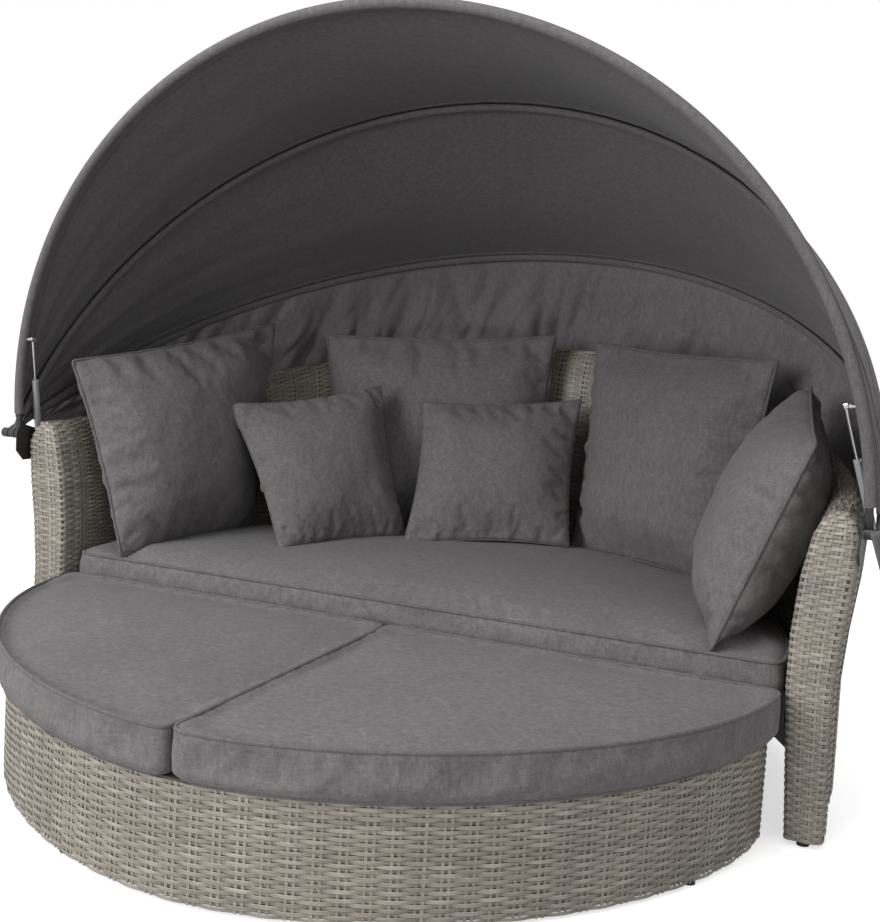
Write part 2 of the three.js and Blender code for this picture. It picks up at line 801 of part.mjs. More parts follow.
const bracketOffset = shellHalfWidth + shellHalfThickness + bracketClearance;
const bracketOuter = bracketOffset + bracketThickness;
const pivotHalfWidth = bracketOuter + hubClearance + hubThickness / 2;
const rearBowReach = shellFront + shellDepth + rearBowClearance - pivotOffset;
const rearBowHeight = rearBowReach / Math.sin(THREE.MathUtils.degToRad(-rearBowTilt));
const bows = {
  front: { spread: pivotHalfWidth, height: frontBowHeight, tilt: frontBowTilt },
  middle: { spread: pivotHalfWidth + bowSpacing, height: middleBowHeight, tilt: middleBowTilt },
  rear: { spread: pivotHalfWidth + 2 * bowSpacing, height: rearBowHeight, tilt: rearBowTilt },
};

function bowPlane({ tilt }) {
  const angle = THREE.MathUtils.degToRad(tilt);
  return new THREE.Vector3(0, -Math.sin(angle), Math.cos(angle));
}

function bowPoint(bow, angle) {
  const rise = bowPlane(bow).multiplyScalar(bow.height * Math.sin(angle));
  return new THREE.Vector3(bow.spread * Math.cos(angle), pivotOffset + rise.y, pivotHeight + rise.z);
}

function bowNormal(bow, angle) {
  const rise = bowPlane(bow).multiplyScalar(Math.sin(angle) / bow.height);
  return new THREE.Vector3(Math.cos(angle) / bow.spread, rise.y, rise.z).normalize();
}

// The eight directions round a bow's tube, from straight ahead over the outside
function tubeDirection(bow, angle, corner) {
  const ahead = bowAhead(bow);
  const turn = (corner / bowSides) * 2 * Math.PI;
  return ahead.multiplyScalar(Math.cos(turn)).addScaledVector(bowNormal(bow, angle), Math.sin(turn));
}

function bowAhead(bow) {
  return new THREE.Vector3().crossVectors(bowPlane(bow), axisX).negate();
}

function bowAngles() {
  return Array.from({ length: bowSteps + 1 }, (_, i) => (i / bowSteps) * Math.PI);
}

function bowTube(bow, radius) {
  const rings = bowAngles().map((angle) => Array.from({ length: bowSides }, (_, corner) =>
    bowPoint(bow, angle).addScaledVector(tubeDirection(bow, angle, corner), radius)));
  return loft(rings, (p) => [p.x, p.y]);
}

function bowHub(bow, side) {
  const centre = new THREE.Vector3(side * bow.spread, pivotOffset, pivotHeight);
  const half = new THREE.Vector3(hubThickness / 2, 0, 0);
  return rod(centre.clone().sub(half), centre.clone().add(half), hubRadius, eyeSides);
}

const boreRadius = pivotBoltRadius + runningGap;
const boreTools = sides.map(([, side]) => rod(
  new THREE.Vector3(side * (pivotHalfWidth - bowSpacing), pivotOffset, pivotHeight),
  new THREE.Vector3(side * (pivotHalfWidth + 3 * bowSpacing), pivotOffset, pivotHeight),
  boreRadius / Math.cos(Math.PI / roundSides), roundSides));

for (const [name, bow] of Object.entries(bows)) {
  const pieces = [bowTube(bow, bowRadius), ...sides.map(([, side]) => bowHub(bow, side))];
  const below = box(-2 * bow.spread, 2 * bow.spread, pivotOffset - bow.height, pivotOffset + bow.height,
    pivotHeight - 2 * hubRadius, pivotHeight - hubRadius);
  add(`${name}_bow`, cut(join(pieces), [...boreTools, below]), 'black');
}

// Canopy cloth

const sleeve = bowRadius + sleeveGap + fabricThickness / 2;

// The cloth's edge round a bow's leading side, from straight ahead to the outside
function sleeveRow(bow, angle) {
  return [0, 1, 2].map((corner) => {
    const normal = tubeDirection(bow, angle, corner);
    return { point: bowPoint(bow, angle).addScaledVector(normal, sleeve), normal };
  });
}

function clothAngles(bow) {
  return bowAngles().filter((angle) => bow.height * Math.sin(angle) > panelStartHeight);
}

const panelShares = [0.12, 0.28, 0.44, 0.6, 0.76, 0.9, 1];

// From one bow's sleeve back to just before the next bow's sleeve, with sag and folds
function panelRow(lead, next, angle, side) {
  const from = bowPoint(lead, angle);
  const to = bowPoint(next, angle);
  const endShare = 1 - (sleeve + fabricThickness + gap) / from.distanceTo(to);
  const fullness = Math.sin(angle);
  const span = panelShares.map((share) => {
    const s = share * endShare;
    const out = bowNormal(lead, angle).lerp(bowNormal(next, angle), s).normalize();
    const wave = Math.sin(panelFoldCount * Math.PI * s + side * angle);
    const belly = fullness * Math.sin(Math.PI * s) * (panelFoldDepth * wave - panelSagDepth);
    const point = from.clone().lerp(to, s).addScaledVector(out, sleeve * (1 - s) + belly);
    return { point, normal: out };
  });
  return [...sleeveRow(lead, angle), ...span];
}

function panelGrid(lead, next, side) {
  return clothAngles(lead).map((angle) => panelRow(lead, next, angle, side));
}

add('canopy_front_panel', sheet(panelGrid(bows.front, bows.middle, 1), fabricThickness), 'canopy');
add('canopy_middle_panel', sheet(panelGrid(bows.middle, bows.rear, -1), fabricThickness), 'canopy');

const curtainShares = [0.1, 0.35, 0.6, 0.8, 1];

// The rear curtain hangs from the rear bow outside the shell's rim
function curtainRow(angle) {
  const from = bowPoint(bows.rear, angle);
  const normal = bowNormal(bows.rear, angle);
  const to = shellPoint(angle, curtainClearance);
  to.z = curtainFootHeight;
  const outward = shellPoint(angle, 1).sub(shellPoint(angle, 0)).normalize();
  const hang = curtainShares.map((s) => {
    const wave = curtainFoldDepth * Math.sin(angle) * s * Math.sin(2 * curtainFoldCount * angle);
    const point = from.clone().addScaledVector(normal, sleeve).lerp(to, s);
    point.addScaledVector(outward, wave + sleeve * (1 - s));
    return { point, normal: normal.clone().lerp(outward, s).normalize() };
  });
  return [...sleeveRow(bows.rear, angle), ...hang];
}

add('canopy_rear_curtain', sheet(clothAngles(bows.rear).map(curtainRow), fabricThickness), 'canopy');

// Brackets, pivot bolts and gas struts

const strutFoot = new THREE.Vector3(bracketOuter + strutFootClearance, strutFootOffset, strutFootHeight);
const headAngle = Math.asin(strutHeadShare);
const headOnBow = bowPoint(bows.front, headAngle);
const strutHead = new THREE.Vector3(headOnBow.x - strutHeadClearance, headOnBow.y, headOnBow.z);

function bracket() {
  const outline = new THREE.Shape();
  outline.absarc(pivotOffset, pivotHeight, bracketRadius, Math.PI / 2, Math.PI, false);
  outline.lineTo(pivotOffset - bracketRadius, bracketBottomHeight + bracketRadius);
  outline.lineTo(pivotOffset, bracketBottomHeight);
  outline.lineTo(strutFootOffset + bracketToeRadius, bracketBottomHeight);
  outline.absarc(strutFootOffset, strutFootHeight, bracketToeRadius, 0, Math.PI / 2, false);
  const options = { depth: bracketThickness, bevelEnabled: false, curveSegments: cornerSteps };
  const geometry = new THREE.ExtrudeGeometry(outline, options);
  geometry.applyMatrix4(new THREE.Matrix4().makeBasis(new THREE.Vector3(0, 1, 0), up, axisX));
  return geometry.translate(bracketOffset, 0, 0);
}

function pivotBolt() {
  const start = new THREE.Vector3(bracketOuter + gap, pivotOffset, pivotHeight);
  const headStart = pivotHalfWidth + 2 * bowSpacing + hubThickness / 2 + gap;
  const neck = new THREE.Vector3(headStart, pivotOffset, pivotHeight);
  const end = new THREE.Vector3(headStart + boltHeadThickness, pivotOffset, pivotHeight);
  const shankEnd = neck.clone().addScaledVector(axisX, boltHeadThickness / 2);
  const shank = rod(start, shankEnd, pivotBoltRadius, roundSides);
  return join([shank, rod(neck, end, boltHeadRadius, roundSides)]);
}

function lowerStud() {
  const start = new THREE.Vector3(bracketOuter + gap, strutFoot.y, strutFoot.z);
  const ball = new THREE.SphereGeometry(ballRadius, roundSides, ballRings)
    .translate(strutFoot.x, strutFoot.y, strutFoot.z);
  return join([rod(start, strutFoot, studRadius, roundSides), ball]);
}

function upperStud() {
  const tip = new THREE.Vector3(strutHead.x + headThickness / 2 + headGap, strutHead.y, strutHead.z);
  const collar = tip.clone().addScaledVector(axisX, ballRadius);
  const pin = rod(tip.clone().addScaledVector(axisX, ballRadius / 2), headOnBow, studRadius, roundSides);
  return cut(join([rod(tip, collar, ballRadius, roundSides), pin]), [bowTube(bows.front, bowRadius + gap)]);
}

const strutAlong = new THREE.Vector3().subVectors(strutHead, strutFoot).normalize();

function alongStrut(distance) {
  return strutFoot.clone().addScaledVector(strutAlong, distance);
}

// The strut swings about the axis that carries its head from its raised place to its folded one
const foldAngle = THREE.MathUtils.degToRad(middleBowFold + frontBowFold);
const pivot = new THREE.Vector3(0, pivotOffset, pivotHeight);
const foldedHead = strutHead.clone().sub(pivot).applyAxisAngle(axisX, -foldAngle).add(pivot);
const strutAxis = new THREE.Vector3().crossVectors(strutAlong, foldedHead.sub(strutFoot)).normalize();

function eye(centre, radius, thickness) {
  const half = strutAxis.clone().multiplyScalar(thickness / 2);
  return rod(centre.clone().sub(half), centre.clone().add(half), radius, eyeSides);
}

function strutCylinder() {
  const start = alongStrut(socketRadius - gap);
  const body = rod(start, alongStrut(strutBodyLength), strutBodyRadius, roundSides);
  const boreStart = alongStrut(socketRadius + strutEndWall);
  const boreEnd = alongStrut(strutBodyLength + overrunDepth);
  const bore = rod(boreStart, boreEnd, strutRodRadius + runningGap, roundSides);
  const ballRoom = eye(strutFoot, ballRadius + runningGap, 2 * socketThickness);
  return cut(join([body, eye(strutFoot, socketRadius, socketThickness)]), [bore, ballRoom]);
}

function strutRod() {
  const start = alongStrut(strutBodyLength - strutOverlapLength);
  const shank = rod(start, strutHead, strutRodRadius, roundSides);
  return join([shank, eye(strutHead, headRadius, headThickness)]);
}

const perSide = {
  bracket: [bracket, 'black'],
  pivot_bolt: [pivotBolt, 'bright'],
  lower_stud: [lowerStud, 'bright'],
  upper_stud: [upperStud, 'bright'],
  strut_cylinder: [strutCylinder, 'bright'],
  strut_rod: [strutRod, 'bright'],
};
for (const [name, [make, look]] of Object.entries(perSide)) {
  add(`${name}_right`, make(), look);
  add(`${name}_left`, mirrored(make()), look);
}

// The origin moves to the middle of the floor rectangle

part.updateMatrixWorld(true);
const bounds = new THREE.Box3().setFromObject(part, true);
const shift = (bounds.min.y + bounds.max.y) / 2;
part.children.forEach((mesh) => { mesh.position.y = -shift; });

export default part;
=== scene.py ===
import bpy
import bmesh
import json
import math
from itertools import combinations
import numpy as np
from mathutils import Matrix, Vector, noise
from mathutils.geometry import convex_hull_2d


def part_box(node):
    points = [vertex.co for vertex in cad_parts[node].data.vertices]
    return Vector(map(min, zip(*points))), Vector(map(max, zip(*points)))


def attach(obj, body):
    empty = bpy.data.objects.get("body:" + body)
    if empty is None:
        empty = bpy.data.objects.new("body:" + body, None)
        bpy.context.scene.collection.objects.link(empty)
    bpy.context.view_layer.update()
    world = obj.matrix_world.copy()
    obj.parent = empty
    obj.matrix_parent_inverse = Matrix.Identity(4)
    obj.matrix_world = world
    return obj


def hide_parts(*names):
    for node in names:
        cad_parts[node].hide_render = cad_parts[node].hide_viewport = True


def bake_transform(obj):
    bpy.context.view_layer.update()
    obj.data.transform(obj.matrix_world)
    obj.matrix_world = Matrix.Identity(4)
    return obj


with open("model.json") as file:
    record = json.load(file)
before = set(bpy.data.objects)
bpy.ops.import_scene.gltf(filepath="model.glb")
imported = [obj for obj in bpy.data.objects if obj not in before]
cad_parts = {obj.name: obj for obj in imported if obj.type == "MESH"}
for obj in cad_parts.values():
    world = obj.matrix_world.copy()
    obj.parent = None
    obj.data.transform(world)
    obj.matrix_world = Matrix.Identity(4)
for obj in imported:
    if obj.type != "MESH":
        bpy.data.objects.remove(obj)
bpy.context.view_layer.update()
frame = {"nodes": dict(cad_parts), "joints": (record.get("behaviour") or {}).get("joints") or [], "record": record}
nodes = frame["nodes"]
fold = next(joint for joint in frame["joints"] if joint["name"] == "middle_bow_fold")
rng = np.random.default_rng(7)

# Sizes and places shared with the CAD model, in metres; SHIFT is how far the model was moved along Y
PIVOT = Vector(fold["pos_m"])
PIVOT_Y = -0.038
SHIFT = PIVOT.y - PIVOT_Y
SHELL_HALF_WIDTH = 1.045
SHELL_DEPTH = 1.130
SHELL_FRONT = 0.0723 + SHIFT
ARM_TOP = 0.735
BACK_RISE = 0.270
RIM_POWER = 1.5
ARM_MID_INSET = 0.021
SHELL_HALF_THICKNESS = 0.055
SKIRT = 0.110
INNER_SKIN = 0.200
POST_FRONT = -0.018 + SHIFT
POST_BACK = 0.072 + SHIFT
POST_CORNER = 0.014
POST_TOP_SHARE = 0.975
GLIDE = 0.012
# Rows of share of the rim's height, share of the inset and share of the half thickness
SECTION_SHARES = np.array([
    [0.00, -0.36, 0.700], [0.20, -0.62, 0.780], [0.46, -1.00, 0.875], [0.62, -0.80, 0.955],
    [0.80, -0.15, 1.000], [0.925, 0.40, 0.880], [0.975, 0.55, 0.610], [1.00, 0.58, 0.260]])
STOOL_HALF_WIDTH = 0.925
STOOL_DEPTH = 0.889
STOOL_OVERHANG = 0.026
STOOL_OFFSET = 0.019
STOOL_BACK = -0.020 + SHIFT
STOOL_BOTTOM = 0.008
# The footstool's weave stops below its cushion, so that the dark backing shows there as a painted shadow line
STOOL_TOP = 0.234
STOOL_ROUNDNESS = 1.8
BOW_SPACING = 0.022
BOWS = {
    "front": {"spread": 1.117, "height": 1.094, "tilt": 7.4},
    "middle": {"spread": 1.117 + BOW_SPACING, "height": 1.126, "tilt": -30.0},
    "rear": {"spread": 1.117 + 2 * BOW_SPACING, "height": 1.400, "tilt": -64.5},
}


# Camera, fitted to the photograph

IMAGE_WIDTH = 880.0
IMAGE_HEIGHT = 922.0
IMAGE_CENTRE_X = 441.88
IMAGE_CENTRE_Y = 427.38
FOCAL_PIXELS = 1272.19
SENSOR_WIDTH = 36.0
CAMERA_AZIMUTH = 22.805
CAMERA_ELEVATION = 5.318
CAMERA_ROLL = 3.457
CAMERA_PLACE = Vector((1.303, -2.800 + SHIFT, 1.115))


def make_camera():
    azimuth = math.radians(CAMERA_AZIMUTH)
    elevation = math.radians(CAMERA_ELEVATION)
    roll = math.radians(CAMERA_ROLL)
    back = Vector((math.sin(azimuth) * math.cos(elevation), -math.cos(azimuth) * math.cos(elevation),
                   math.sin(elevation)))
    level = Vector((math.cos(azimuth), math.sin(azimuth), 0.0))
    above = back.cross(level)
    right = level * math.cos(roll) + above * math.sin(roll)
    up = above * math.cos(roll) - level * math.sin(roll)
    data = bpy.data.cameras.new("camera")
    data.sensor_width = SENSOR_WIDTH
    data.lens = FOCAL_PIXELS * SENSOR_WIDTH / IMAGE_HEIGHT
    data.shift_x = (IMAGE_WIDTH / 2 - IMAGE_CENTRE_X) / IMAGE_HEIGHT
    data.shift_y = (IMAGE_CENTRE_Y - IMAGE_HEIGHT / 2) / IMAGE_HEIGHT
    camera = bpy.data.objects.new("camera", data)
    bpy.context.scene.collection.objects.link(camera)
    turn = Matrix((right, up, back)).transposed().to_4x4()
    camera.matrix_world = Matrix.Translation(CAMERA_PLACE) @ turn
    bpy.context.scene.camera = camera


# Mesh helpers

def new_object(name, vertices, faces, material, smooth=True):
    mesh = bpy.data.meshes.new(name)
    corners = [tuple(map(int, face)) for face in faces]
    mesh.from_pydata([tuple(v) for v in np.asarray(vertices, float)], [], corners)
    mesh.validate()
    mesh.polygons.foreach_set("use_smooth", [smooth] * len(mesh.polygons))
    mesh.materials.append(material)
    mesh.update()
    obj = bpy.data.objects.new(name, mesh)
    bpy.context.scene.collection.objects.link(obj)
    return obj


def add_tone(obj, tones):
    layer = obj.data.color_attributes.new("tone", "FLOAT_COLOR", "POINT")
    values = np.ones((len(tones), 4))
    values[:, :3] = np.asarray(tones)[:, None]
    layer.data.foreach_set("color", values.astype(np.float32).ravel())


def points_of(obj):
    return np.array([v.co for v in obj.data.vertices])


def move_points(obj, points):
    obj.data.vertices.foreach_set("co", points.astype(np.float32).ravel())


# Length covered so far at each point of a flat line
def run_along(x, y):
    return np.concatenate([[0.0], np.cumsum(np.hypot(np.diff(x), np.diff(y)))])


def unit(vectors):
    vectors = np.asarray(vectors, float)
    return vectors / np.maximum(np.linalg.norm(vectors, axis=-1, keepdims=True), 1e-12)


# Quads between rings of points that follow one another in one list
def bands(rings, ring_size, closed_round, closed_along=False):
    i = np.arange(rings if closed_along else rings - 1)
    j = np.arange(ring_size if closed_round else ring_size - 1)
    a = (i[:, None] * ring_size + j[None, :]).ravel()
    b = (i[:, None] * ring_size + (j[None, :] + 1) % ring_size).ravel()
    c = (((i[:, None] + 1) % rings) * ring_size + (j[None, :] + 1) % ring_size).ravel()
    d = (((i[:, None] + 1) % rings) * ring_size + j[None, :]).ravel()
    return np.stack([a, b, c, d], 1)


def tube(points, radius, sides=8, closed=True):
    points = np.asarray(points, float)
    if closed:
        along = unit(np.roll(points, -1, 0) - np.roll(points, 1, 0))
    else:
        along = unit(np.gradient(points, axis=0))
    side = np.cross(along[0], [0.0, 0.0, 1.0])
    if np.linalg.norm(side) < 0.2:
        side = np.cross(along[0], [1.0, 0.0, 0.0])
    rings = []
    for point, direction in zip(points, along):
        side = unit(side - direction * np.dot(side, direction))
        other = np.cross(direction, side)
        turns = np.arange(sides) * 2 * math.pi / sides
        rings.append(point + radius * (np.cos(turns)[:, None] * side + np.sin(turns)[:, None] * other))
    faces = bands(len(points), sides, True, closed)
    vertices = np.concatenate(rings)
    if not closed:
        caps = [np.arange(sides)[::-1], np.arange(sides) + (len(points) - 1) * sides]
        return vertices, [*faces, *caps]
    return vertices, list(faces)


def merged(parts):
    vertices, faces, start = [], [], 0
    for part_vertices, part_faces in parts:
        vertices.append(part_vertices)
        faces += [[i + start for i in face] for face in part_faces]
        start += len(part_vertices)
    return np.concatenate(vertices), faces


# Two layers of a grid of points, closed along the grid's four sides
def thick_sheet(grid, thickness):
    normals = unit(np.cross(np.gradient(grid, axis=0), np.gradient(grid, axis=1)))
    rows, columns = grid.shape[:2]
    front = (grid + normals * thickness / 2).reshape(-1, 3)
    back = (grid - normals * thickness / 2).reshape(-1, 3)
    face = bands(rows, columns, False)
    rim = [*range(columns), *[r * columns + columns - 1 for r in range(1, rows)],
           *[(rows - 1) * columns + c for c in range(columns - 2, -1, -1)],
           *[r * columns for r in range(rows - 2, 0, -1)]]
    shift = rows * columns
    edge = [[b, a, a + shift, b + shift] for a, b in zip(rim, rim[1:] + rim[:1])]
    faces = [*face, *(face[:, ::-1] + shift), *edge]
    return np.concatenate([front, back]), faces


# Materials

def set_inputs(node, values):
    for name, value in values.items():
        node.inputs[name].default_value = value


def node_material(name, roughness, metallic=0.0):
    material = bpy.data.materials.new(name)
    material.use_nodes = True
    tree = material.node_tree
    shader = tree.nodes["Principled BSDF"]
    set_inputs(shader, {"Roughness": roughness, "Metallic": metallic})
    coordinates = tree.nodes.new("ShaderNodeTexCoord").outputs["Object"]
    return material, tree, shader, coordinates


def noise_node(tree, coordinates, scale, detail=2.0, stretch=(1, 1, 1), rough=0.5):
    mapping = tree.nodes.new("ShaderNodeMapping")
    mapping.inputs["Scale"].default_value = stretch
    tree.links.new(coordinates, mapping.inputs["Vector"])
    node = tree.nodes.new("ShaderNodeTexNoise")
    set_inputs(node, {"Scale": scale, "Detail": detail, "Roughness": rough})
    tree.links.new(mapping.outputs["Vector"], node.inputs["Vector"])
    return node.outputs["Fac"]


def ramp(tree, value, stops):
    node = tree.nodes.new("ShaderNodeValToRGB")
    elements = node.color_ramp.elements
    while len(elements) < len(stops):
        elements.new(0.5)
    for element, (position, colour) in zip(elements, stops):
        element.position = position
        element.color = (*colour, 1.0)
    tree.links.new(value, node.inputs["Fac"])
    return node.outputs["Color"]


# From one grey to another over the middle of a noise
def grey_ramp(tree, value, low, high, warm=0.0):
    return ramp(tree, value, [(0.3, grey(low, warm)), (0.7, grey(high, warm))])


def mix(tree, factor, a, b, blend="MIX"):
    node = tree.nodes.new("ShaderNodeMix")
    node.data_type = "RGBA"
    node.blend_type = blend
    if isinstance(factor, float):
        node.inputs["Factor"].default_value = factor
    else:
        tree.links.new(factor, node.inputs["Factor"])
    tree.links.new(a, node.inputs[6])
    tree.links.new(b, node.inputs[7])
    return node.outputs[2]


def add_values(tree, values):
    total = values[0]
    for value in values[1:]:
        node = tree.nodes.new("ShaderNodeMath")
        node.operation = "ADD"
        tree.links.new(total, node.inputs[0])
        tree.links.new(value, node.inputs[1])
        total = node.outputs[0]
    return total


def bump(tree, shader, height, strength, distance):
    node = tree.nodes.new("ShaderNodeBump")
    set_inputs(node, {"Strength": strength, "Distance": distance})
    tree.links.new(height, node.inputs["Height"])
    tree.links.new(node.outputs["Normal"], shader.inputs["Normal"])


def grey(level, warm=1.0):
    return (level * (1 + 0.045 * warm), level * (1 - 0.015 * warm), level * (1 - 0.005 * warm))


THREAD_SCALE = 420.0


# Heathered polyester: threads of two greys crossing each other, with a soft drift over the whole piece
def cloth_material(name, level, contrast=0.3):
    material, tree, shader, coordinates = node_material(name, 0.92)
    warp = noise_node(tree, coordinates, THREAD_SCALE, 2.0, (1.0, 1.0, 0.16))
    weft = noise_node(tree, coordinates, THREAD_SCALE, 2.0, (0.16, 0.2, 1.0))
    slub = noise_node(tree, coordinates, 95.0, 3.0, (1.0, 1.0, 0.35), 0.65)
    drift = noise_node(tree, coordinates, 2.4, 3.0)
    low, high = level * (1 - contrast), level * (1 + contrast)
    threads = mix(tree, 0.5, grey_ramp(tree, warp, low, high, 1.0), grey_ramp(tree, weft, low, high, 1.0))
    slubs = grey_ramp(tree, slub, 0.86, 1.14)
    drifts = grey_ramp(tree, drift, 0.93, 1.07)
    colour = mix(tree, 1.0, threads, slubs, "MULTIPLY")
    colour = mix(tree, 1.0, colour, drifts, "MULTIPLY")
    tree.links.new(colour, shader.inputs["Base Color"])
    set_inputs(shader, {"Sheen Weight": 0.12, "Sheen Roughness": 0.6, "Specular IOR Level": 0.15})
    bump(tree, shader, add_values(tree, [warp, weft, slub]), 0.35, 0.0012)
    return material


# Flat resin strands: each strand has its own tone, with fine streaks along it; the tone's darkest end is painted
# shade where a strand passes behind the stakes
def wicker_material(name):
    material, tree, shader, coordinates = node_material(name, 0.5)
    attribute = tree.nodes.new("ShaderNodeAttribute")
    attribute.attribute_name = "tone"
    # The ramp's darkest stop is the painted shade where strands pass behind the stakes
    strand = ramp(tree, attribute.outputs["Fac"], [
        (0.0, (0.080, 0.068, 0.054)), (0.35, (0.235, 0.210, 0.176)),
        (0.7, (0.325, 0.297, 0.254)), (1.0, (0.450, 0.420, 0.370))])
    streak = noise_node(tree, coordinates, 260.0, 3.0, (0.12, 0.12, 1.0), 0.6)
    streaks = grey_ramp(tree, streak, 0.78, 1.16)
    patch = noise_node(tree, coordinates, 5.0, 2.0)
    patches = grey_ramp(tree, patch, 0.9, 1.08)
    colour = mix(tree, 1.0, strand, streaks, "MULTIPLY")
    colour = mix(tree, 1.0, colour, patches, "MULTIPLY")
    tree.links.new(colour, shader.inputs["Base Color"])
    bump(tree, shader, streak, 0.3, 0.0006)
    return material


def coated_material(name, colour, roughness, metallic=0.0, grain=900.0):
    material, tree, shader, coordinates = node_material(name, roughness, metallic)
    speck = noise_node(tree, coordinates, grain, 2.0)
    dark = tuple(c * 0.86 for c in colour)
    light = tuple(min(c * 1.12, 1.0) for c in colour)
    tree.links.new(ramp(tree, speck, [(0.3, dark), (0.7, light)]), shader.inputs["Base Color"])
    wear = noise_node(tree, coordinates, 14.0, 4.0)
    low = grey(max(roughness - 0.08, 0.05), 0)
    high = grey(min(roughness + 0.1, 1.0), 0)
    tree.links.new(ramp(tree, wear, [(0.35, low), (0.65, high)]), shader.inputs["Roughness"])
    bump(tree, shader, speck, 0.15, 0.0003)
    return material


CUSHION = cloth_material("cushion_cloth", 0.152)
PIPING = cloth_material("cushion_piping", 0.125)
CANOPY = cloth_material("canopy_cloth", 0.138, 0.25)
# The canopy's cloth again, made lighter on the rear curtain as painted light
PAINTED_LIGHT_CURTAIN = cloth_material("canopy_curtain_cloth_painted_light", 0.170, 0.25)
WICKER = wicker_material("wicker")
# Dark core under the strands: painted shade seen between them and under the footstool cushion
PAINTED_SHADE_BACKING = coated_material("wicker_backing_painted_shade", (0.075, 0.065, 0.052), 0.8)
FRAME = coated_material("frame_steel", (0.20, 0.185, 0.16), 0.45, 0.3)
BLACK = coated_material("black_steel", (0.012, 0.012, 0.013), 0.42)
TUBE = coated_material("bow_tube", (0.045, 0.045, 0.048), 0.4, 0.4)
BRIGHT = coated_material("bright_steel", (0.62, 0.62, 0.61), 0.22, 1.0)
STRUT = coated_material("strut_body", (0.43, 0.44, 0.45), 0.35, 0.2)
PLASTIC = coated_material("glide_plastic", (0.02, 0.02, 0.02), 0.6)
BOARD = coated_material("deck_board", (0.075, 0.062, 0.05), 0.75, 0.0, 60.0)


def dress(prefixes, material):
    for name, obj in nodes.items():
        if name.startswith(prefixes):
            obj.data.materials.clear()
            obj.data.materials.append(material)


def dress_frame():
    dress(("shell_weave", "footstool_weave", "arm_front", "rear_leg"), PAINTED_SHADE_BACKING)
    dress(("shell_rim", "shell_base", "shell_upright", "seat_crossbar", "footstool_frame"), FRAME)
    dress(("gusset", "bracket", "front_rail"), BLACK)
    dress(("front_bow", "middle_bow", "rear_bow"), TUBE)
    dress(("pivot_bolt", "lower_stud", "upper_stud", "strut_rod"), BRIGHT)
    dress(("strut_cylinder",), STRUT)
    dress(("glide", "footstool_glide"), PLASTIC)
    dress(("seat_deck", "footstool_deck"), BOARD)


# Woven skins: flat strands pass over and behind pairs of thin upright canes

STAKE_PITCH = 0.046
POST_STAKE_PITCH = 0.032
ROW_PITCH = 0.0080
STEPS_PER_STAKE = 6
CANE_OFFSETS = (-0.0066, 0.0066)
CANE_HALF_WIDTH = 0.0029
CANE_FRONT = 0.0027
CANE_BACK = 0.0009
WEAVE_LIFT = 0.0018
WEAVE_SWING = 0.0021
WEAVE_FLATNESS = 1.2
WEAVE_JITTER = 0.00012
STRAND_THICKNESS = 0.0022
STRAND_SHARE = 1.02
STRAND_TONE = 0.68
CANE_TONE = 0.64
# How much painted shade darkens a strand where it passes behind the stakes
RECESS_PAINTED_SHADE = 0.26
STRAND_TONE_SPREAD = 0.085
CANE_TONE_SPREAD = 0.1
PATCH_SPREAD = 0.055
STRAND_SPREAD = 0.05
LIGHTEST_TONE = 0.95
DARKEST_CANE = 0.1
STRAND_PROFILE = np.array([(-0.5, 0.0), (-0.34, 0.5), (0.34, 0.5), (0.5, 0.0), (0.34, -0.5), (-0.34, -0.5)])


# surface(s, t) gives places and outward normals for arrays of shares round and up the skin
def woven(name, body, surface, length, rows, closed, stake_pitch=STAKE_PITCH):
    stakes = int(round(length / stake_pitch / 2)) * 2
    parts, tones = [], []
    for row in range(rows):
        vertices, tone = strand(surface, row, rows, stakes, closed)
        count = len(vertices) // len(STRAND_PROFILE)
        parts.append((vertices, bands(count, len(STRAND_PROFILE), True, closed)))
        tones.append(tone)
    for stake in range(stakes + (0 if closed else 1)):
        for offset in CANE_OFFSETS:
            vertices = cane(surface, stake / stakes + offset / length, length, rows)
            parts.append((vertices, bands(len(vertices) // 4, 4, True)))
            tone = np.clip(rng.normal(CANE_TONE, CANE_TONE_SPREAD), DARKEST_CANE, LIGHTEST_TONE)
            tones.append(np.full(len(vertices), tone))
    vertices, faces = merged(parts)
    obj = new_object(name, vertices, faces, WICKER, False)
    add_tone(obj, np.concatenate(tones))
    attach(obj, body)
    return obj


# One flat strand round the skin, with painted shade where it passes behind a stake
def strand(surface, row, rows, stakes, closed):
    steps = stakes * STEPS_PER_STAKE
    s = np.arange(steps + (0 if closed else 1)) / steps
    t = np.full_like(s, (row + 0.5) / rows)
    place, normal = surface(s, t)
    above, _ = surface(s, t + 0.5 / rows)
    below, _ = surface(s, t - 0.5 / rows)
    rise = above - below
    wave = np.tanh(WEAVE_FLATNESS * np.cos(math.pi * (s * stakes + row))) / math.tanh(WEAVE_FLATNESS)
    centre = place + normal * (WEAVE_LIFT + WEAVE_SWING * wave + rng.normal(0, WEAVE_JITTER))[:, None]
    share = STRAND_SHARE * (1 + STRAND_SPREAD * rng.normal())
    ring = [centre + rise * (p * share) + normal * q * STRAND_THICKNESS for p, q in STRAND_PROFILE]
    patches = np.repeat(rng.normal(0, PATCH_SPREAD, stakes), STEPS_PER_STAKE)
    patches = np.append(patches, patches[-1:])[:len(s)]
    # Painted shade: the strand's tone drops where it passes behind the stakes
    tone = rng.normal(STRAND_TONE, STRAND_TONE_SPREAD) + patches - RECESS_PAINTED_SHADE * (1 - wave) / 2
    tone = np.repeat(np.clip(tone, 0.0, LIGHTEST_TONE), len(STRAND_PROFILE))
    return np.stack(ring, 1).reshape(-1, 3), tone


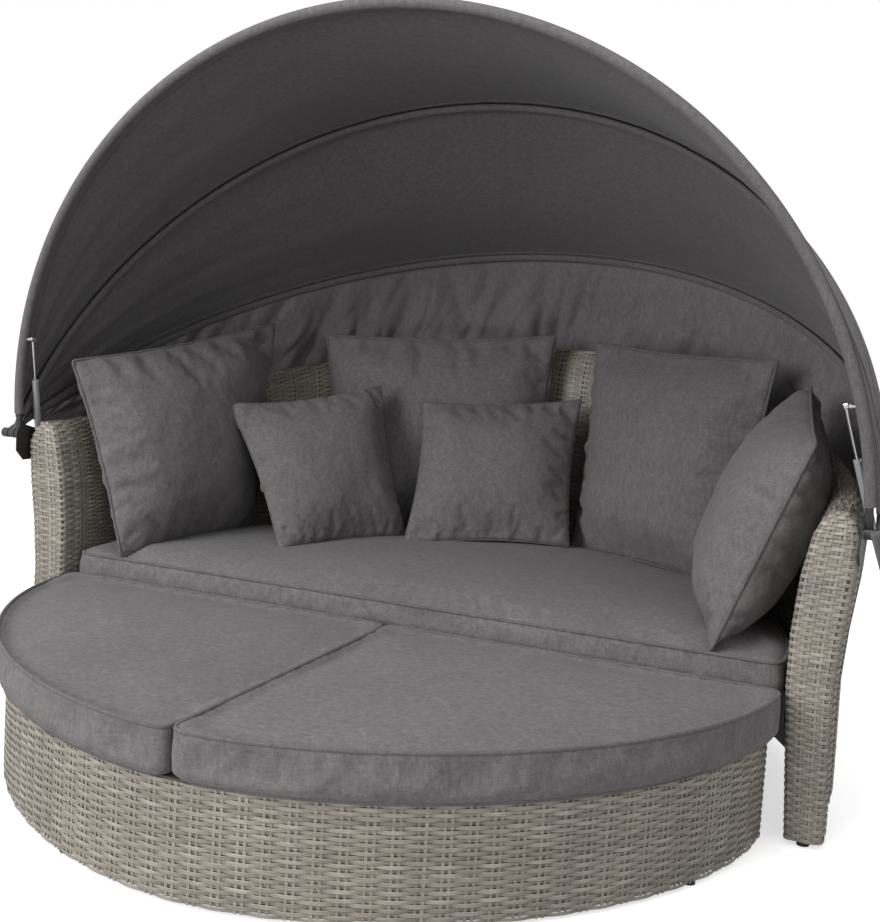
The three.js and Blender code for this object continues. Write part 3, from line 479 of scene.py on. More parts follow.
# One thin upright, square in section
def cane(surface, centre, length, steps):
    t = np.linspace(0.0, 1.0, steps + 1)
    half = CANE_HALF_WIDTH / length
    left, normal = surface(np.full_like(t, centre - half), t)
    right, _ = surface(np.full_like(t, centre + half), t)
    front = normal * CANE_FRONT
    back = normal * CANE_BACK
    return np.stack([left + front, right + front, right + back, left + back], 1).reshape(-1, 3)


# The woven wall's middle line and half thickness, by share of the rim's height
def section(share):
    middle = np.interp(share, SECTION_SHARES[:, 0], SECTION_SHARES[:, 1]) * ARM_MID_INSET
    half = np.interp(share, SECTION_SHARES[:, 0], SECTION_SHARES[:, 2]) * SHELL_HALF_THICKNESS
    return middle, half


# A point outside the shell's half ellipse by an offset; theta runs from the right arm round to the left
def shell_point(theta, offset, height):
    nx, ny = np.cos(theta) / SHELL_HALF_WIDTH, np.sin(theta) / SHELL_DEPTH
    size = np.hypot(nx, ny)
    nx, ny = nx / size, ny / size
    x = SHELL_HALF_WIDTH * np.cos(theta) + nx * offset
    y = SHELL_FRONT + SHELL_DEPTH * np.sin(theta) + ny * offset
    return np.stack(np.broadcast_arrays(x, y, height), -1)


def rim_height(theta):
    return ARM_TOP + BACK_RISE * np.abs(np.sin(theta)) ** RIM_POWER


# Half ellipse laid out by length, so that the stakes stand evenly
THETA = np.linspace(0.0, math.pi, 721)
ARC = run_along(SHELL_HALF_WIDTH * np.cos(THETA), SHELL_DEPTH * np.sin(THETA))


def theta_at(share):
    return np.interp(np.clip(share, 0, 1) * ARC[-1], ARC, THETA)


# Shares of the shell's length: how far its strands run past each end, into the posts, and how much longer
# its outer side is
SHELL_RUN_ON = 0.0025
OUTER_SHARE = 1.04
CROWN_START = 0.97
SURFACE_STEP = 0.004


# The section's outline from the outer skirt over the rim to the inner skin, by share of its length
def outline_table():
    rim = ARM_TOP + BACK_RISE
    outer = np.linspace(SKIRT / rim, CROWN_START, 40)
    crown = np.linspace(CROWN_START, 1.0, 6)[1:]
    inner = np.linspace(CROWN_START, INNER_SKIN / rim, 34)
    share = np.concatenate([outer, crown, crown[::-1], inner])
    side = np.repeat([1.0, -1.0], [len(outer) + len(crown), len(crown) + len(inner)])
    middle, half = section(share)
    offset = middle + side * half
    run = run_along(offset, share * rim)
    return share, offset, run / run[-1], run[-1]


def shell_surface(s, t):
    share_table, offset_table, run, _ = OUTLINE
    wide = s * (1 + 2 * SHELL_RUN_ON) - SHELL_RUN_ON
    theta = theta_at(wide)
    forward = ARC[-1] * np.maximum(np.maximum(-wide, wide - 1), 0)
    t = np.clip(t, 0, 1)
    share = np.interp(t, run, share_table)
    offset = np.interp(t, run, offset_table)
    rim = rim_height(theta)
    outward = unit(shell_point(theta, 1.0, 0.0) - shell_point(theta, 0.0, 0.0))
    lower, upper = t - SURFACE_STEP, t + SURFACE_STEP
    rise = (np.interp(upper, run, share_table) - np.interp(lower, run, share_table)) * rim
    drift = np.interp(upper, run, offset_table) - np.interp(lower, run, offset_table)
    normal = unit(outward * rise[:, None] - np.array([0.0, 0.0, 1.0]) * drift[:, None])
    place = shell_point(theta, offset, share * rim)
    place[:, 1] -= forward
    return place, normal


OUTLINE = outline_table()

POST_CORNER_POWER = 0.32
POST_DEPTH = POST_BACK - POST_FRONT
POST_WIDTH = 2 * SHELL_HALF_THICKNESS
# Shares of a post's height from which its front draws back and its normals lean upwards
POST_ROUND_START = 0.9
POST_LEAN_START = 0.88
# How much of its width and depth a post loses above POST_TOP_SHARE, and how much further its normals lean
POST_WIDTH_CLOSING = 0.9
POST_DEPTH_CLOSING = 0.25
POST_CLOSING_LEAN = 6


# Angles round a post's section, laid out by length so that the stakes stand evenly
def post_turns():
    turn = np.linspace(0.0, 2 * math.pi, 1441) + math.pi / 4
    x = POST_WIDTH / 2 * rounded_square(np.cos(turn))
    y = POST_DEPTH / 2 * rounded_square(np.sin(turn))
    run = run_along(x, y)
    return turn, run / run[-1]


def rounded_square(wave):
    return np.sign(wave) * np.abs(wave) ** POST_CORNER_POWER


POST_TURN, POST_RUN = post_turns()


def post_surface(side):
    def surface(s, t):
        share = np.clip(t / POST_TOP_SHARE, 0, 1)
        closing = np.clip((t - POST_TOP_SHARE) / (1 - POST_TOP_SHARE), 0, 1)
        middle, half = section(share)
        half = half * (1 - POST_WIDTH_CLOSING * closing)
        centre = side * (SHELL_HALF_WIDTH + middle)
        depth = POST_DEPTH / 2 * (1 - POST_DEPTH_CLOSING * closing)
        turn = np.interp(s % 1.0, POST_RUN, POST_TURN) * side
        across = rounded_square(np.cos(turn))
        along = rounded_square(np.sin(turn))
        top = np.clip((share - POST_ROUND_START) / (1 - POST_ROUND_START), 0, 1) ** 2 * POST_CORNER
        y = (POST_FRONT + POST_BACK) / 2 + along * depth + np.where(along < 0, top, 0)
        place = np.stack([centre + across * half, y, GLIDE + share * (ARM_TOP - GLIDE)], -1)
        lean = np.clip((share - POST_LEAN_START) / (1 - POST_LEAN_START), 0, 1) + POST_CLOSING_LEAN * closing
        normal = unit(np.stack([np.cos(turn), np.sin(turn), lean], -1))
        return place, normal
    return surface


def stool_outline_points():
    turn = np.linspace(0.0, math.pi, 400)
    power = 2 / STOOL_ROUNDNESS
    x = STOOL_HALF_WIDTH * np.sign(np.cos(turn)) * np.abs(np.cos(turn)) ** power
    y = STOOL_BACK - STOOL_DEPTH * np.abs(np.sin(turn)) ** power
    back = np.linspace(-STOOL_HALF_WIDTH, STOOL_HALF_WIDTH, 120)[1:]
    xs = np.concatenate([x, back])
    ys = np.concatenate([y, np.full(len(back), STOOL_BACK)])
    return xs, ys, run_along(xs, ys)


STOOL_X, STOOL_Y, STOOL_RUN = stool_outline_points()
STOOL_STEP = 0.006


def stool_surface(s, t):
    total = STOOL_RUN[-1]
    at = (s % 1.0) * total
    x, y = np.interp(at, STOOL_RUN, STOOL_X), np.interp(at, STOOL_RUN, STOOL_Y)
    after, before = (at + STOOL_STEP) % total, (at - STOOL_STEP) % total
    along_x = np.interp(after, STOOL_RUN, STOOL_X) - np.interp(before, STOOL_RUN, STOOL_X)
    along_y = np.interp(after, STOOL_RUN, STOOL_Y) - np.interp(before, STOOL_RUN, STOOL_Y)
    normal = unit(np.stack([-along_y, along_x, np.zeros_like(x)], -1))
    height = STOOL_BOTTOM + np.clip(t, 0, 1) * (STOOL_TOP - STOOL_BOTTOM)
    return np.stack([x + STOOL_OFFSET, y, height], -1), normal


POST_GIRTH = 0.36


def make_weaves():
    shell_rows = int(OUTLINE[3] / ROW_PITCH)
    woven("shell_strands", "sofa", shell_surface, ARC[-1] * OUTER_SHARE, shell_rows, False)
    rows = int((ARM_TOP - GLIDE) / ROW_PITCH)
    for label, side in (("left", -1), ("right", 1)):
        woven(f"arm_{label}_strands", "sofa", post_surface(side), POST_GIRTH, rows, True, POST_STAKE_PITCH)
    stool_rows = int(round((STOOL_TOP - STOOL_BOTTOM) / ROW_PITCH))
    woven("footstool_strands", "footstool", stool_surface, STOOL_RUN[-1], stool_rows, True)


# Cushions

SIM_FRAMES = 18
PILLOW_STEPS = 36
PILLOW_GROWTH = 0.035
PILLOW_TRAVEL = 0.026
# Noise over a cover: its scale, its height and what is added to the cushion's seed
PILLOW_WAVES = ((7.0, 0.009, 0), (24.0, 0.0024, 5))
FOAM_WAVES = ((3.2, 0.007, 0), (14.0, 0.0022, 3))
PUCKER_HEIGHT = 0.014
PUCKER_REACH = 0.16
PUCKER_START = 0.05
PUCKER_ALONG = 9.0
PUCKER_DEEP = 1.2
LARGE_PIPING = 0.0042
SMALL_PIPING = 0.0022
# Each loose cushion: thickness before it is inflated, drawing in of its sides, piping, pressure and seed
PILLOWS = {
    "cushion_large_left": (0.172, 0.045, LARGE_PIPING, 3.0, 21),
    "cushion_large_back_left": (0.165, 0.045, LARGE_PIPING, 3.0, 22),
    "cushion_large_back_right": (0.165, 0.045, LARGE_PIPING, 3.0, 23),
    "cushion_large_right": (0.200, 0.030, LARGE_PIPING, 3.6, 24),
    "cushion_scatter_left": (0.125, 0.075, SMALL_PIPING, 3.0, 25),
    "cushion_scatter_right": (0.125, 0.075, SMALL_PIPING, 3.0, 26),
}
FOAM_PRESSURE = 2.2
FOAM_GROWTH = 0.012
FOAM_TRAVEL = 0.012
FOAM_STIFFNESS = 20.0
FOAM_PIPING = 0.0045
FOAM_RINGS = 25
OUTLINE_SPACING = 0.018
BOXING_BULGE = 0.006
BOXING_STEPS = 6
SEAT_BOXING = 0.097
SEAT_CROWN = 0.030
STOOL_BOXING = 0.098
STOOL_CROWN = 0.018
STOOL_SPLIT = 0.0016
JOIN_X = -0.071
JOIN_RADIUS = 0.0022
JOIN_LIFT = 0.001
JOIN_STEPS = 14


# Blows a closed cover up with its pinned points held; no point travels further than the cap
def inflate(obj, pinned, pressure, growth, cap, stiffness=12.0):
    rest = points_of(obj)
    group = obj.vertex_groups.new(name="seam")
    group.add([int(i) for i in pinned], 1.0, "ADD")
    cloth = obj.modifiers.new("cloth", "CLOTH")
    settings = cloth.settings
    settings.quality = 6
    settings.mass = 0.3
    settings.tension_stiffness = stiffness
    settings.compression_stiffness = stiffness
    settings.shear_stiffness = stiffness * 0.6
    settings.bending_stiffness = 0.6
    settings.use_pressure = True
    settings.uniform_pressure_force = pressure
    settings.vertex_group_mass = "seam"
    settings.shrink_min = -growth
    settings.shrink_max = -growth
    settings.effector_weights.gravity = 0.0
    cloth.point_cache.frame_start = 1
    cloth.point_cache.frame_end = SIM_FRAMES + 2
    scene = bpy.context.scene
    for number in range(1, SIM_FRAMES + 1):
        scene.frame_set(number)
    result = obj.evaluated_get(bpy.context.evaluated_depsgraph_get())
    moved = points_of(result)
    obj.modifiers.remove(cloth)
    obj.vertex_groups.remove(group)
    travel = moved - rest
    length = np.linalg.norm(travel, axis=1, keepdims=True)
    travel *= np.minimum(1.0, cap / np.maximum(length, 1e-9))
    move_points(obj, rest + travel)
    scene.frame_set(1)


def smooth_subdivide(obj):
    mesh = bmesh.new()
    mesh.from_mesh(obj.data)
    bmesh.ops.subdivide_edges(mesh, edges=mesh.edges[:], cuts=1, use_grid_fill=True, smooth=0.6)
    mesh.to_mesh(obj.data)
    mesh.free()
    obj.data.polygons.foreach_set("use_smooth", [True] * len(obj.data.polygons))
    obj.data.update()


def crumple(points, waves, seed):
    total = np.zeros(len(points))
    for scale, height, extra in waves:
        shift = Vector((1.0, 2.0, 3.0)) * (seed + extra)
        total += height * np.array([noise.noise(Vector(p) * scale + shift) for p in points])
    return total


# The four corners of a loose cushion: its solid's furthest points in the plane of the seam
def pillow_corners(node):
    places = points_of(nodes[node])
    centre = places.mean(0)
    normal = np.linalg.svd(places - centre, full_matrices=False)[2][2]
    upward = unit(np.array([0.0, 0.0, 1.0]) - normal * normal[2])
    across = np.cross(upward, normal)
    across = across * np.sign(across[0])
    flat = np.stack([(places - centre) @ across, (places - centre) @ upward], 1)
    hull = convex_hull_2d([Vector(p) for p in flat])
    corners = max(combinations(hull, 4), key=lambda four: quad_area(flat[list(four)]))
    ring = list(corners) if quad_turn(flat[list(corners)]) > 0 else list(corners)[::-1]
    signs = np.array([(-1, -1), (1, -1), (1, 1), (-1, 1)])
    turns = [ring[k:] + ring[:k] for k in range(4)]
    best = max(turns, key=lambda order: float((flat[order] * signs).sum()))
    return [places[i] for i in best]


def quad_turn(points):
    x, y = points[:, 0], points[:, 1]
    return float(np.dot(x, np.roll(y, -1)) - np.dot(y, np.roll(x, -1)))


def quad_area(points):
    return abs(quad_turn(points))


# Short creases that run from the seam into the face and die out
def puckers(flat, seed):
    u, v = np.abs(flat[:, 0]), np.abs(flat[:, 1])
    along = np.where(u > v, flat[:, 1], flat[:, 0])
    depth = 1 - np.maximum(u, v)
    field = [noise.noise(Vector((a * PUCKER_ALONG, d * PUCKER_DEEP + 3 * (p > q), seed + 0.5)))
             for a, d, p, q in zip(along, depth, u, v)]
    fade = np.exp(-depth / PUCKER_REACH) * np.clip(depth / PUCKER_START, 0, 1)
    return PUCKER_HEIGHT * np.array(field) * fade


# A loose cushion: two swelling faces that meet in a seam, with the sides drawn in between the corners
def pillow(node, thickness, drawn_in, piping, pressure, seed):
    corners = [Vector(c) for c in pillow_corners(node)]
    low_left, low_right, high_right, high_left = corners
    middle = sum(corners, Vector()) / 4
    normal = (low_right - low_left).cross(high_left - low_left).normalized()
    size = PILLOW_STEPS
    index, points, flat = {}, [], []

    def point_at(i, j, face):
        u, v = 2 * i / size - 1, 2 * j / size - 1
        edge = abs(u) == 1 or abs(v) == 1
        key = (i, j, 0 if edge else face)
        if key in index:
            return index[key]
        low = low_left.lerp(low_right, (u + 1) / 2)
        high = high_left.lerp(high_right, (u + 1) / 2)
        point = low.lerp(high, (v + 1) / 2)
        inward = drawn_in * (abs(u) ** 3 * (1 - v * v) + abs(v) ** 3 * (1 - u * u))
        point = point.lerp(middle, inward)
        if not edge:
            swell = ((1 - u ** 2) * (1 - v ** 2)) ** 0.5
            point = point + normal * (face * thickness * swell / 2)
        index[key] = len(points)
        points.append(point)
        flat.append((u, v))
        return index[key]

    faces = []
    for face in (1, -1):
        for i in range(size):
            for j in range(size):
                quad = [point_at(i, j, face), point_at(i + 1, j, face),
                        point_at(i + 1, j + 1, face), point_at(i, j + 1, face)]
                faces.append(quad if face > 0 else quad[::-1])
    ring = [(i, 0) for i in range(size)] + [(size, j) for j in range(size)]
    ring += [(i, size) for i in range(size, 0, -1)] + [(0, j) for j in range(size, 0, -1)]
    rim = [index[(i, j, 0)] for i, j in ring]
    obj = new_object(f"{node}_cover", [tuple(p) for p in points], faces, CUSHION)
    inflate(obj, rim, pressure, PILLOW_GROWTH, PILLOW_TRAVEL)
    body = points_of(obj)
    ripple = crumple(body, PILLOW_WAVES, seed) + puckers(np.array(flat), seed)
    finish_cushion(obj, node, body, ripple, rim)
    add_cord(f"{node}_piping", rounded(body[rim]), piping, 8, True, body_of(node))


# Rumples a cover away from its pinned points and puts it in its solid's place
def finish_cushion(obj, node, body, ripple, pinned):
    side = np.array([v.normal for v in obj.data.vertices])
    ripple[pinned] = 0
    move_points(obj, body + side * ripple[:, None])
    smooth_subdivide(obj)
    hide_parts(node)
    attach(obj, body_of(node))


def body_of(node):
    return next(body for body, members in frame["record"]["behaviour"]["bodies"].items() if node in members)


# Twice as many points round a closed line, with its corners softened
def rounded(points):
    points = np.asarray(points)
    finer = np.empty((2 * len(points), 3))
    finer[::2] = points
    finer[1::2] = (points + np.roll(points, -1, 0)) / 2
    return (np.roll(finer, 1, 0) + 2 * finer + np.roll(finer, -1, 0)) / 4


def add_cord(name, points, radius, sides, closed, body):
    vertices, faces = tube(points, radius, sides, closed)
    cord = new_object(name, vertices, faces, PIPING)
    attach(cord, body)


def resample(points, spacing):
    points = np.asarray(points, float)
    closed = np.vstack([points, points[:1]])
    run = run_along(closed[:, 0], closed[:, 1])
    count = int(run[-1] / spacing)
    at = np.arange(count) / count * run[-1]
    return np.stack([np.interp(at, run, closed[:, k]) for k in range(2)], 1)


def soften(points, passes):
    for _ in range(passes):
        points = (np.roll(points, 1, 0) + 2 * points + np.roll(points, -1, 0)) / 4
    return points


# A boxed foam cushion: crowned top, upright boxing and piping on both seams
def boxed(node, outline, seam_rise, crown, seed):
    low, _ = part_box(node)
    outline = soften(resample(outline, OUTLINE_SPACING), 4)
    count = len(outline)
    centre = outline.mean(0)
    seam_height = low.z + seam_rise
    shares = 1 - np.linspace(0, 1, FOAM_RINGS)[:-1]
    rings, seams = [], []

    def ring(scale, height):
        flat = centre + (outline - centre) * scale
        rings.append(np.column_stack([flat, np.full(count, height)]))

    for scale in shares[::-1][::2]:
        ring(scale, low.z)
    seams.append(len(rings) - 1)
    for step in range(1, BOXING_STEPS):
        bulge = BOXING_BULGE * math.sin(math.pi * step / BOXING_STEPS)
        ring(1 + bulge, low.z + seam_rise * step / BOXING_STEPS)
    ring(1, seam_height)
    seams.append(len(rings) - 1)
    for scale in shares[1:]:
        rise = (1 - scale ** 4) ** 0.75
        ring(scale, seam_height + crown * rise)
    points = np.concatenate(rings)
    faces = [list(face) for face in bands(len(rings), count, True)]
    bottom, top = len(points), len(points) + 1
    points = np.vstack([points, [*centre, low.z], [*centre, seam_height + crown]])
    last = (len(rings) - 1) * count
    for i in range(count):
        following = (i + 1) % count
        faces.append([bottom, following, i])
        faces.append([top, last + i, last + following])
    obj = new_object(f"{node}_cover", points, faces, CUSHION)
    bottom_seam = np.arange(count) + seams[0] * count
    top_seam = np.arange(count) + seams[1] * count
    base = np.arange(seams[0] * count)
    pinned = np.concatenate([base, bottom_seam, top_seam, [bottom]])
    inflate(obj, pinned, FOAM_PRESSURE, FOAM_GROWTH, FOAM_TRAVEL, FOAM_STIFFNESS)
    body = points_of(obj)
    finish_cushion(obj, node, body, crumple(body, FOAM_WAVES, seed), pinned)
    for label, seam in (("low", bottom_seam), ("top", top_seam)):
        add_cord(f"{node}_piping_{label}", rounded(body[seam]), FOAM_PIPING, 8, True, body_of(node))


def seat_outline():
    low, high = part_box("seat_cushion")
    turn = np.linspace(0, math.pi, 200)
    arc = np.stack([high.x * np.cos(turn), low.y + (high.y - low.y) * np.sin(turn)], 1)
    front = np.stack([np.linspace(-high.x, high.x, 120)[1:-1], np.full(118, low.y)], 1)
    return np.vstack([arc, front])


def stool_cushion_outline(side):
    half_width, depth = STOOL_HALF_WIDTH + STOOL_OVERHANG, STOOL_DEPTH + STOOL_OVERHANG
    turn = np.linspace(0, math.pi / 2, 160)
    power = 2 / STOOL_ROUNDNESS
    x = np.maximum(half_width * np.cos(turn) ** power, STOOL_SPLIT)
    arc = np.stack([x, STOOL_BACK - depth * np.sin(turn) ** power], 1)
    inner = np.stack([np.full(80, STOOL_SPLIT), np.linspace(STOOL_BACK - depth, STOOL_BACK, 80)], 1)[1:]
    back = np.stack([np.linspace(STOOL_SPLIT, half_width, 80), np.full(80, STOOL_BACK)], 1)[1:-1]
    outline = np.vstack([arc, inner, back])
    outline[:, 0] = outline[:, 0] * side + STOOL_OFFSET
    return outline if side > 0 else outline[::-1]


# The upright join in the boxing of the seat cushion
def boxing_join():
    low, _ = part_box("seat_cushion")
    heights = np.linspace(2 * JOIN_LIFT, SEAT_BOXING - JOIN_LIFT, JOIN_STEPS)
    bulge = BOXING_BULGE * np.sin(math.pi * heights / SEAT_BOXING)
    y = low.y - 0.5 * bulge - JOIN_LIFT
    points = np.stack([np.full(JOIN_STEPS, JOIN_X), y, low.z + heights], 1)
    add_cord("seat_boxing_join", points, JOIN_RADIUS, 6, False, "sofa")


def make_cushions():
    boxed("seat_cushion", seat_outline(), SEAT_BOXING, SEAT_CROWN, 3)
    boxing_join()
    for label, side in (("left", -1), ("right", 1)):
        outline = stool_cushion_outline(side)
        boxed(f"footstool_cushion_{label}", outline, STOOL_BOXING, STOOL_CROWN, 11 + side)
    for node, values in PILLOWS.items():
        pillow(node, *values)


# Canopy

CLOTH_LIFT = 0.0122
CLOTH_START = 0.045
SLEEVE_START = 0.058
HEM_START = 0.075
STITCH_START = 0.090
CURTAIN_START = 0.098
CLOTH_THICKNESS = 0.0012
PANEL_SAG = 0.024
BROAD_FOLD = 0.015
FINE_FOLD = 0.005
RIPPLE_HEIGHT = 0.0045
PANEL_SEEDS = {"front": 0.0, "middle": 2.0}
HEM_THICKNESS = 0.0040
HEM_INNER = 0.005
FRONT_HEM = 0.055
HEM = 0.026
HEM_SHARE_LIMIT = 0.4
SLEEVE_RADIUS = 0.0125
SLEEVE_FLANGE = 0.004
SLEEVE_REACH = 0.020
FLANGE_LIFT = 0.0016
FRONT_FLANGE_LIFT = 0.0014
EDGE_SHARE_LIMIT = 0.35
STITCH_LIFT = 0.0026
STITCH_RADIUS = 0.0011
STITCH_DISTANCES = (0.018, 0.046)


# Upwards and ahead in a plane through the pivots that leans forward by so many degrees
def plane_up(tilt):
    angle = math.radians(tilt)
    return np.array([0.0, -math.sin(angle), math.cos(angle)])


def plane_ahead(tilt):
    angle = math.radians(tilt)
    return np.array([0.0, -math.cos(angle), -math.sin(angle)])


# Points of a bow, at angles round its half ellipse from the right pivot to the left
def bow_points(bow, angle):
    shape = BOWS[bow]
    across = np.array([1.0, 0.0, 0.0]) * (shape["spread"] * np.cos(angle))[..., None]
    rise = plane_up(shape["tilt"]) * (shape["height"] * np.sin(angle))[..., None]
    return np.array(PIVOT) + across + rise


def bow_normals(bow, angle):
    shape = BOWS[bow]
    across = np.array([1.0, 0.0, 0.0]) * (np.cos(angle) / shape["spread"])[..., None]
    return unit(across + plane_up(shape["tilt"]) * (np.sin(angle) / shape["height"])[..., None])


# Angles along a bow that begin and end at a height over the pivots, measured in the bow's own plane
def cloth_angles(bow, count, start):
    first = math.asin(start / BOWS[bow]["height"])
    return np.linspace(first, math.pi - first, count)


def canopy_sheet(name, grid, thickness, material=CANOPY):
    vertices, faces = thick_sheet(grid, thickness)
    obj = new_object(name, vertices, faces, material)
    return obj


# A point of the cloth between two bows; s runs from the leading bow to the next
def panel_point(lead, following, angle, s, seed):
    a, b = bow_points(lead, angle), bow_points(following, angle)
    out = unit(bow_normals(lead, angle) * (1 - s)[..., None] + bow_normals(following, angle) * s[..., None])
    high = np.sin(angle)
    sag = -PANEL_SAG * high * np.sin(math.pi * s)
    side = np.where(np.cos(angle) < 0, -1.0, 1.0)
    near = np.clip(1 - high, 0, 1)
    rays = np.sin(math.pi * s) ** 0.6 * high ** 0.7
    folds = BROAD_FOLD * near * rays * np.sin(2 * math.pi * (2.6 * s + 0.35 * side + 0.6 * high))
    folds = folds + FINE_FOLD * rays * near * np.sin(2 * math.pi * (6.3 * s + 0.2 * side - 0.9 * high))
    ripple = RIPPLE_HEIGHT * np.sin(math.pi * s) * np.sin(3.1 * angle + 5.0 * s + seed)
    offset = CLOTH_LIFT + sag + folds + ripple
    return a + (b - a) * s[..., None] + out * offset[..., None]


def panel(name, node, lead, following):
    angle = cloth_angles(lead, 181, CLOTH_START)
    s = np.linspace(0, 1, 57)
    mesh_angle, mesh_s = np.meshgrid(angle, s, indexing="ij")
    grid = panel_point(lead, following, mesh_angle, mesh_s, PANEL_SEEDS[lead])
    obj = canopy_sheet(name, grid, CLOTH_THICKNESS)
    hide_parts(node)
    blend_between(obj)


# Bakes the object's transform into its mesh; the cloth is not tied to either bow
def blend_between(obj):
    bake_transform(obj)


# A band of doubled cloth between two distances from the leading bow, or from the next one if negative
def hem_band(name, lead, following, near, far):
    angle = cloth_angles(lead, 151, HEM_START)
    a, b = bow_points(lead, angle), bow_points(following, angle)
    span = np.linalg.norm(b - a, axis=1)[:, None]
    steps = np.linspace(0, 1, 5)[None, :]
    distance = np.clip((abs(near) + (abs(far) - abs(near)) * steps) / span, 0, HEM_SHARE_LIMIT)
    s = distance if far > 0 else 1 - distance
    grid = panel_point(lead, following, np.broadcast_to(angle[:, None], s.shape), s, PANEL_SEEDS[lead])
    blend_between(canopy_sheet(name, grid, HEM_THICKNESS))


# The cloth sleeve round a bow, with flanges along the cloth on one or both sides
def bow_sleeve(name, bow, body, behind, ahead_panel):
    angle = cloth_angles(bow, 150, SLEEVE_START)
    centre = bow_points(bow, angle)
    normal = bow_normals(bow, angle)
    ahead = np.broadcast_to(plane_ahead(BOWS[bow]["tilt"]), centre.shape)

    def along(lead, following, from_start, lift):
        a, b = bow_points(lead, angle), bow_points(following, angle)
        span = np.linalg.norm(b - a, axis=1)
        share = np.clip(SLEEVE_FLANGE / span, 0, EDGE_SHARE_LIMIT)
        s = share if from_start else 1 - share
        return panel_point(lead, following, angle, s, 0.0) + normal * lift

    rings = []
    if behind:
        rings.append(along(bow, behind, True, -FLANGE_LIFT))
    else:
        rings.append(centre - ahead * SLEEVE_REACH + normal * CLOTH_LIFT)
    for turn in np.linspace(-150, -30 if ahead_panel else 100, 9):
        t = math.radians(turn)
        rings.append(centre + SLEEVE_RADIUS * (ahead * math.cos(t) + normal * math.sin(t)))
    if ahead_panel:
        rings.append(along(ahead_panel, bow, False, -FLANGE_LIFT))
        rings.append(centre + normal * (CLOTH_LIFT - FLANGE_LIFT))
    else:
        rings.append(centre + normal * (CLOTH_LIFT + FRONT_FLANGE_LIFT))
        if behind:
            rings.append(along(bow, behind, True, FLANGE_LIFT))
    ring_points = np.stack(rings, 1)
    count, size = ring_points.shape[:2]
    faces = [list(f) for f in bands(count, size, True)]
    obj = new_object(name, ring_points.reshape(-1, 3), faces, CANOPY)
    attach(obj, body)


# Smooth noise over arrays of places in a plane
def ridges(x, y, seed):
    field = np.vectorize(lambda a, b: noise.noise(Vector((a, b, seed))))
    return field(x, y)


FOOT_START = 0.012
FOOT_OFFSET = 0.095
FOOT_HEIGHT = 0.72
CURTAIN_FOLD = 0.052
CURTAIN_CREASE = 0.019
# How often the curtain's folds and creases follow one another along the bow, and how much they slant
FOLD_RATE = 9.0
FOLD_SLANT = 1.4
CREASE_RATE = 21.0
CREASE_SLANT = 3.4
# Shares of the way from the bow to the foot: folds at full depth, bunched cloth, its spread, shell's rim
GATHER_SHARE = 0.42
BUNCH_SHARE = 0.42
BUNCH_SPREAD_SHARE = 0.13
RIM_SHARE = 0.54
CURTAIN_BUNCH = 0.050
CURTAIN_INWARD = -0.040


# The gathered cloth behind the seat: it hangs from the rear bow and bunches where it passes the shell's rim
def curtain():
    angle = cloth_angles("rear", 421, CURTAIN_START)
    s = np.linspace(0, 1, 49)
    mesh_angle, mesh_s = np.meshgrid(angle, s, indexing="ij")
    top = bow_points("rear", mesh_angle) + bow_normals("rear", mesh_angle) * CLOTH_LIFT
    foot_angle = FOOT_START + (mesh_angle - angle[0]) * (math.pi - 2 * FOOT_START) / (math.pi - 2 * angle[0])
    foot = shell_point(foot_angle, FOOT_OFFSET, FOOT_HEIGHT)
    outward = unit(shell_point(foot_angle, 1.0, 0.0) - shell_point(foot_angle, 0.0, 0.0))
    high = np.sin(mesh_angle)
    slanted = mesh_angle * FOLD_RATE + FOLD_SLANT * mesh_s * np.cos(mesh_angle)
    broad = 1 - 2 * np.abs(ridges(slanted, mesh_s * 1.6, 3.0))
    fine = 1 - 2 * np.abs(ridges(mesh_angle * CREASE_RATE - mesh_s * CREASE_SLANT, mesh_s * 3.0, 8.0))
    gathered = np.clip(mesh_s / GATHER_SHARE, 0, 1) ** 0.9 * high ** 0.5
    bunch = CURTAIN_BUNCH * np.exp(-((mesh_s - BUNCH_SHARE) / BUNCH_SPREAD_SHARE) ** 2) * high
    bunch = bunch * (0.5 + ridges(mesh_angle * 5.0 + 2.0 * mesh_s, mesh_s * 5.0, 5.0))
    folds = gathered * (CURTAIN_FOLD * (broad - 0.45) + CURTAIN_CREASE * fine)
    offset = CLOTH_LIFT * (1 - mesh_s) + folds - bunch
    above_rim = np.clip(mesh_s / 0.3, 0, 1) * np.clip((RIM_SHARE - mesh_s) / 0.12, 0.12, 1)
    offset = np.maximum(offset, CURTAIN_INWARD * above_rim)
    grid = top + (foot - top) * mesh_s[..., None] + outward * offset[..., None]
    obj = canopy_sheet("canopy_rear_cloth", grid, CLOTH_THICKNESS, PAINTED_LIGHT_CURTAIN)
    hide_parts("canopy_rear_curtain")
    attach(obj, "sofa")


# Two rows of stitches along the hem behind the front bow
def hem_stitches():
    angle = cloth_angles("front", 300, STITCH_START)
    for number, distance in enumerate(STITCH_DISTANCES):
        a, b = bow_points("front", angle), bow_points("middle", angle)
        s = np.clip(distance / np.linalg.norm(b - a, axis=1), 0, EDGE_SHARE_LIMIT)
        points = panel_point("front", "middle", angle, s, 0.0) + bow_normals("front", angle) * STITCH_LIFT
        vertices, faces = tube(points, STITCH_RADIUS, 5, False)
        cord = new_object(f"front_hem_stitch_{number + 1}", vertices, faces, PIPING)
        blend_between(cord)


HEM_END_CORNERS = ((1.124, -0.090, 0.712), (1.150, -0.030, 0.725),
                   (1.190, -0.020, 0.650), (1.152, -0.082, 0.628))
HEM_END_THICKNESS = 0.003
HEM_END_CURL = 0.006
HEM_END_WAVE = 0.004


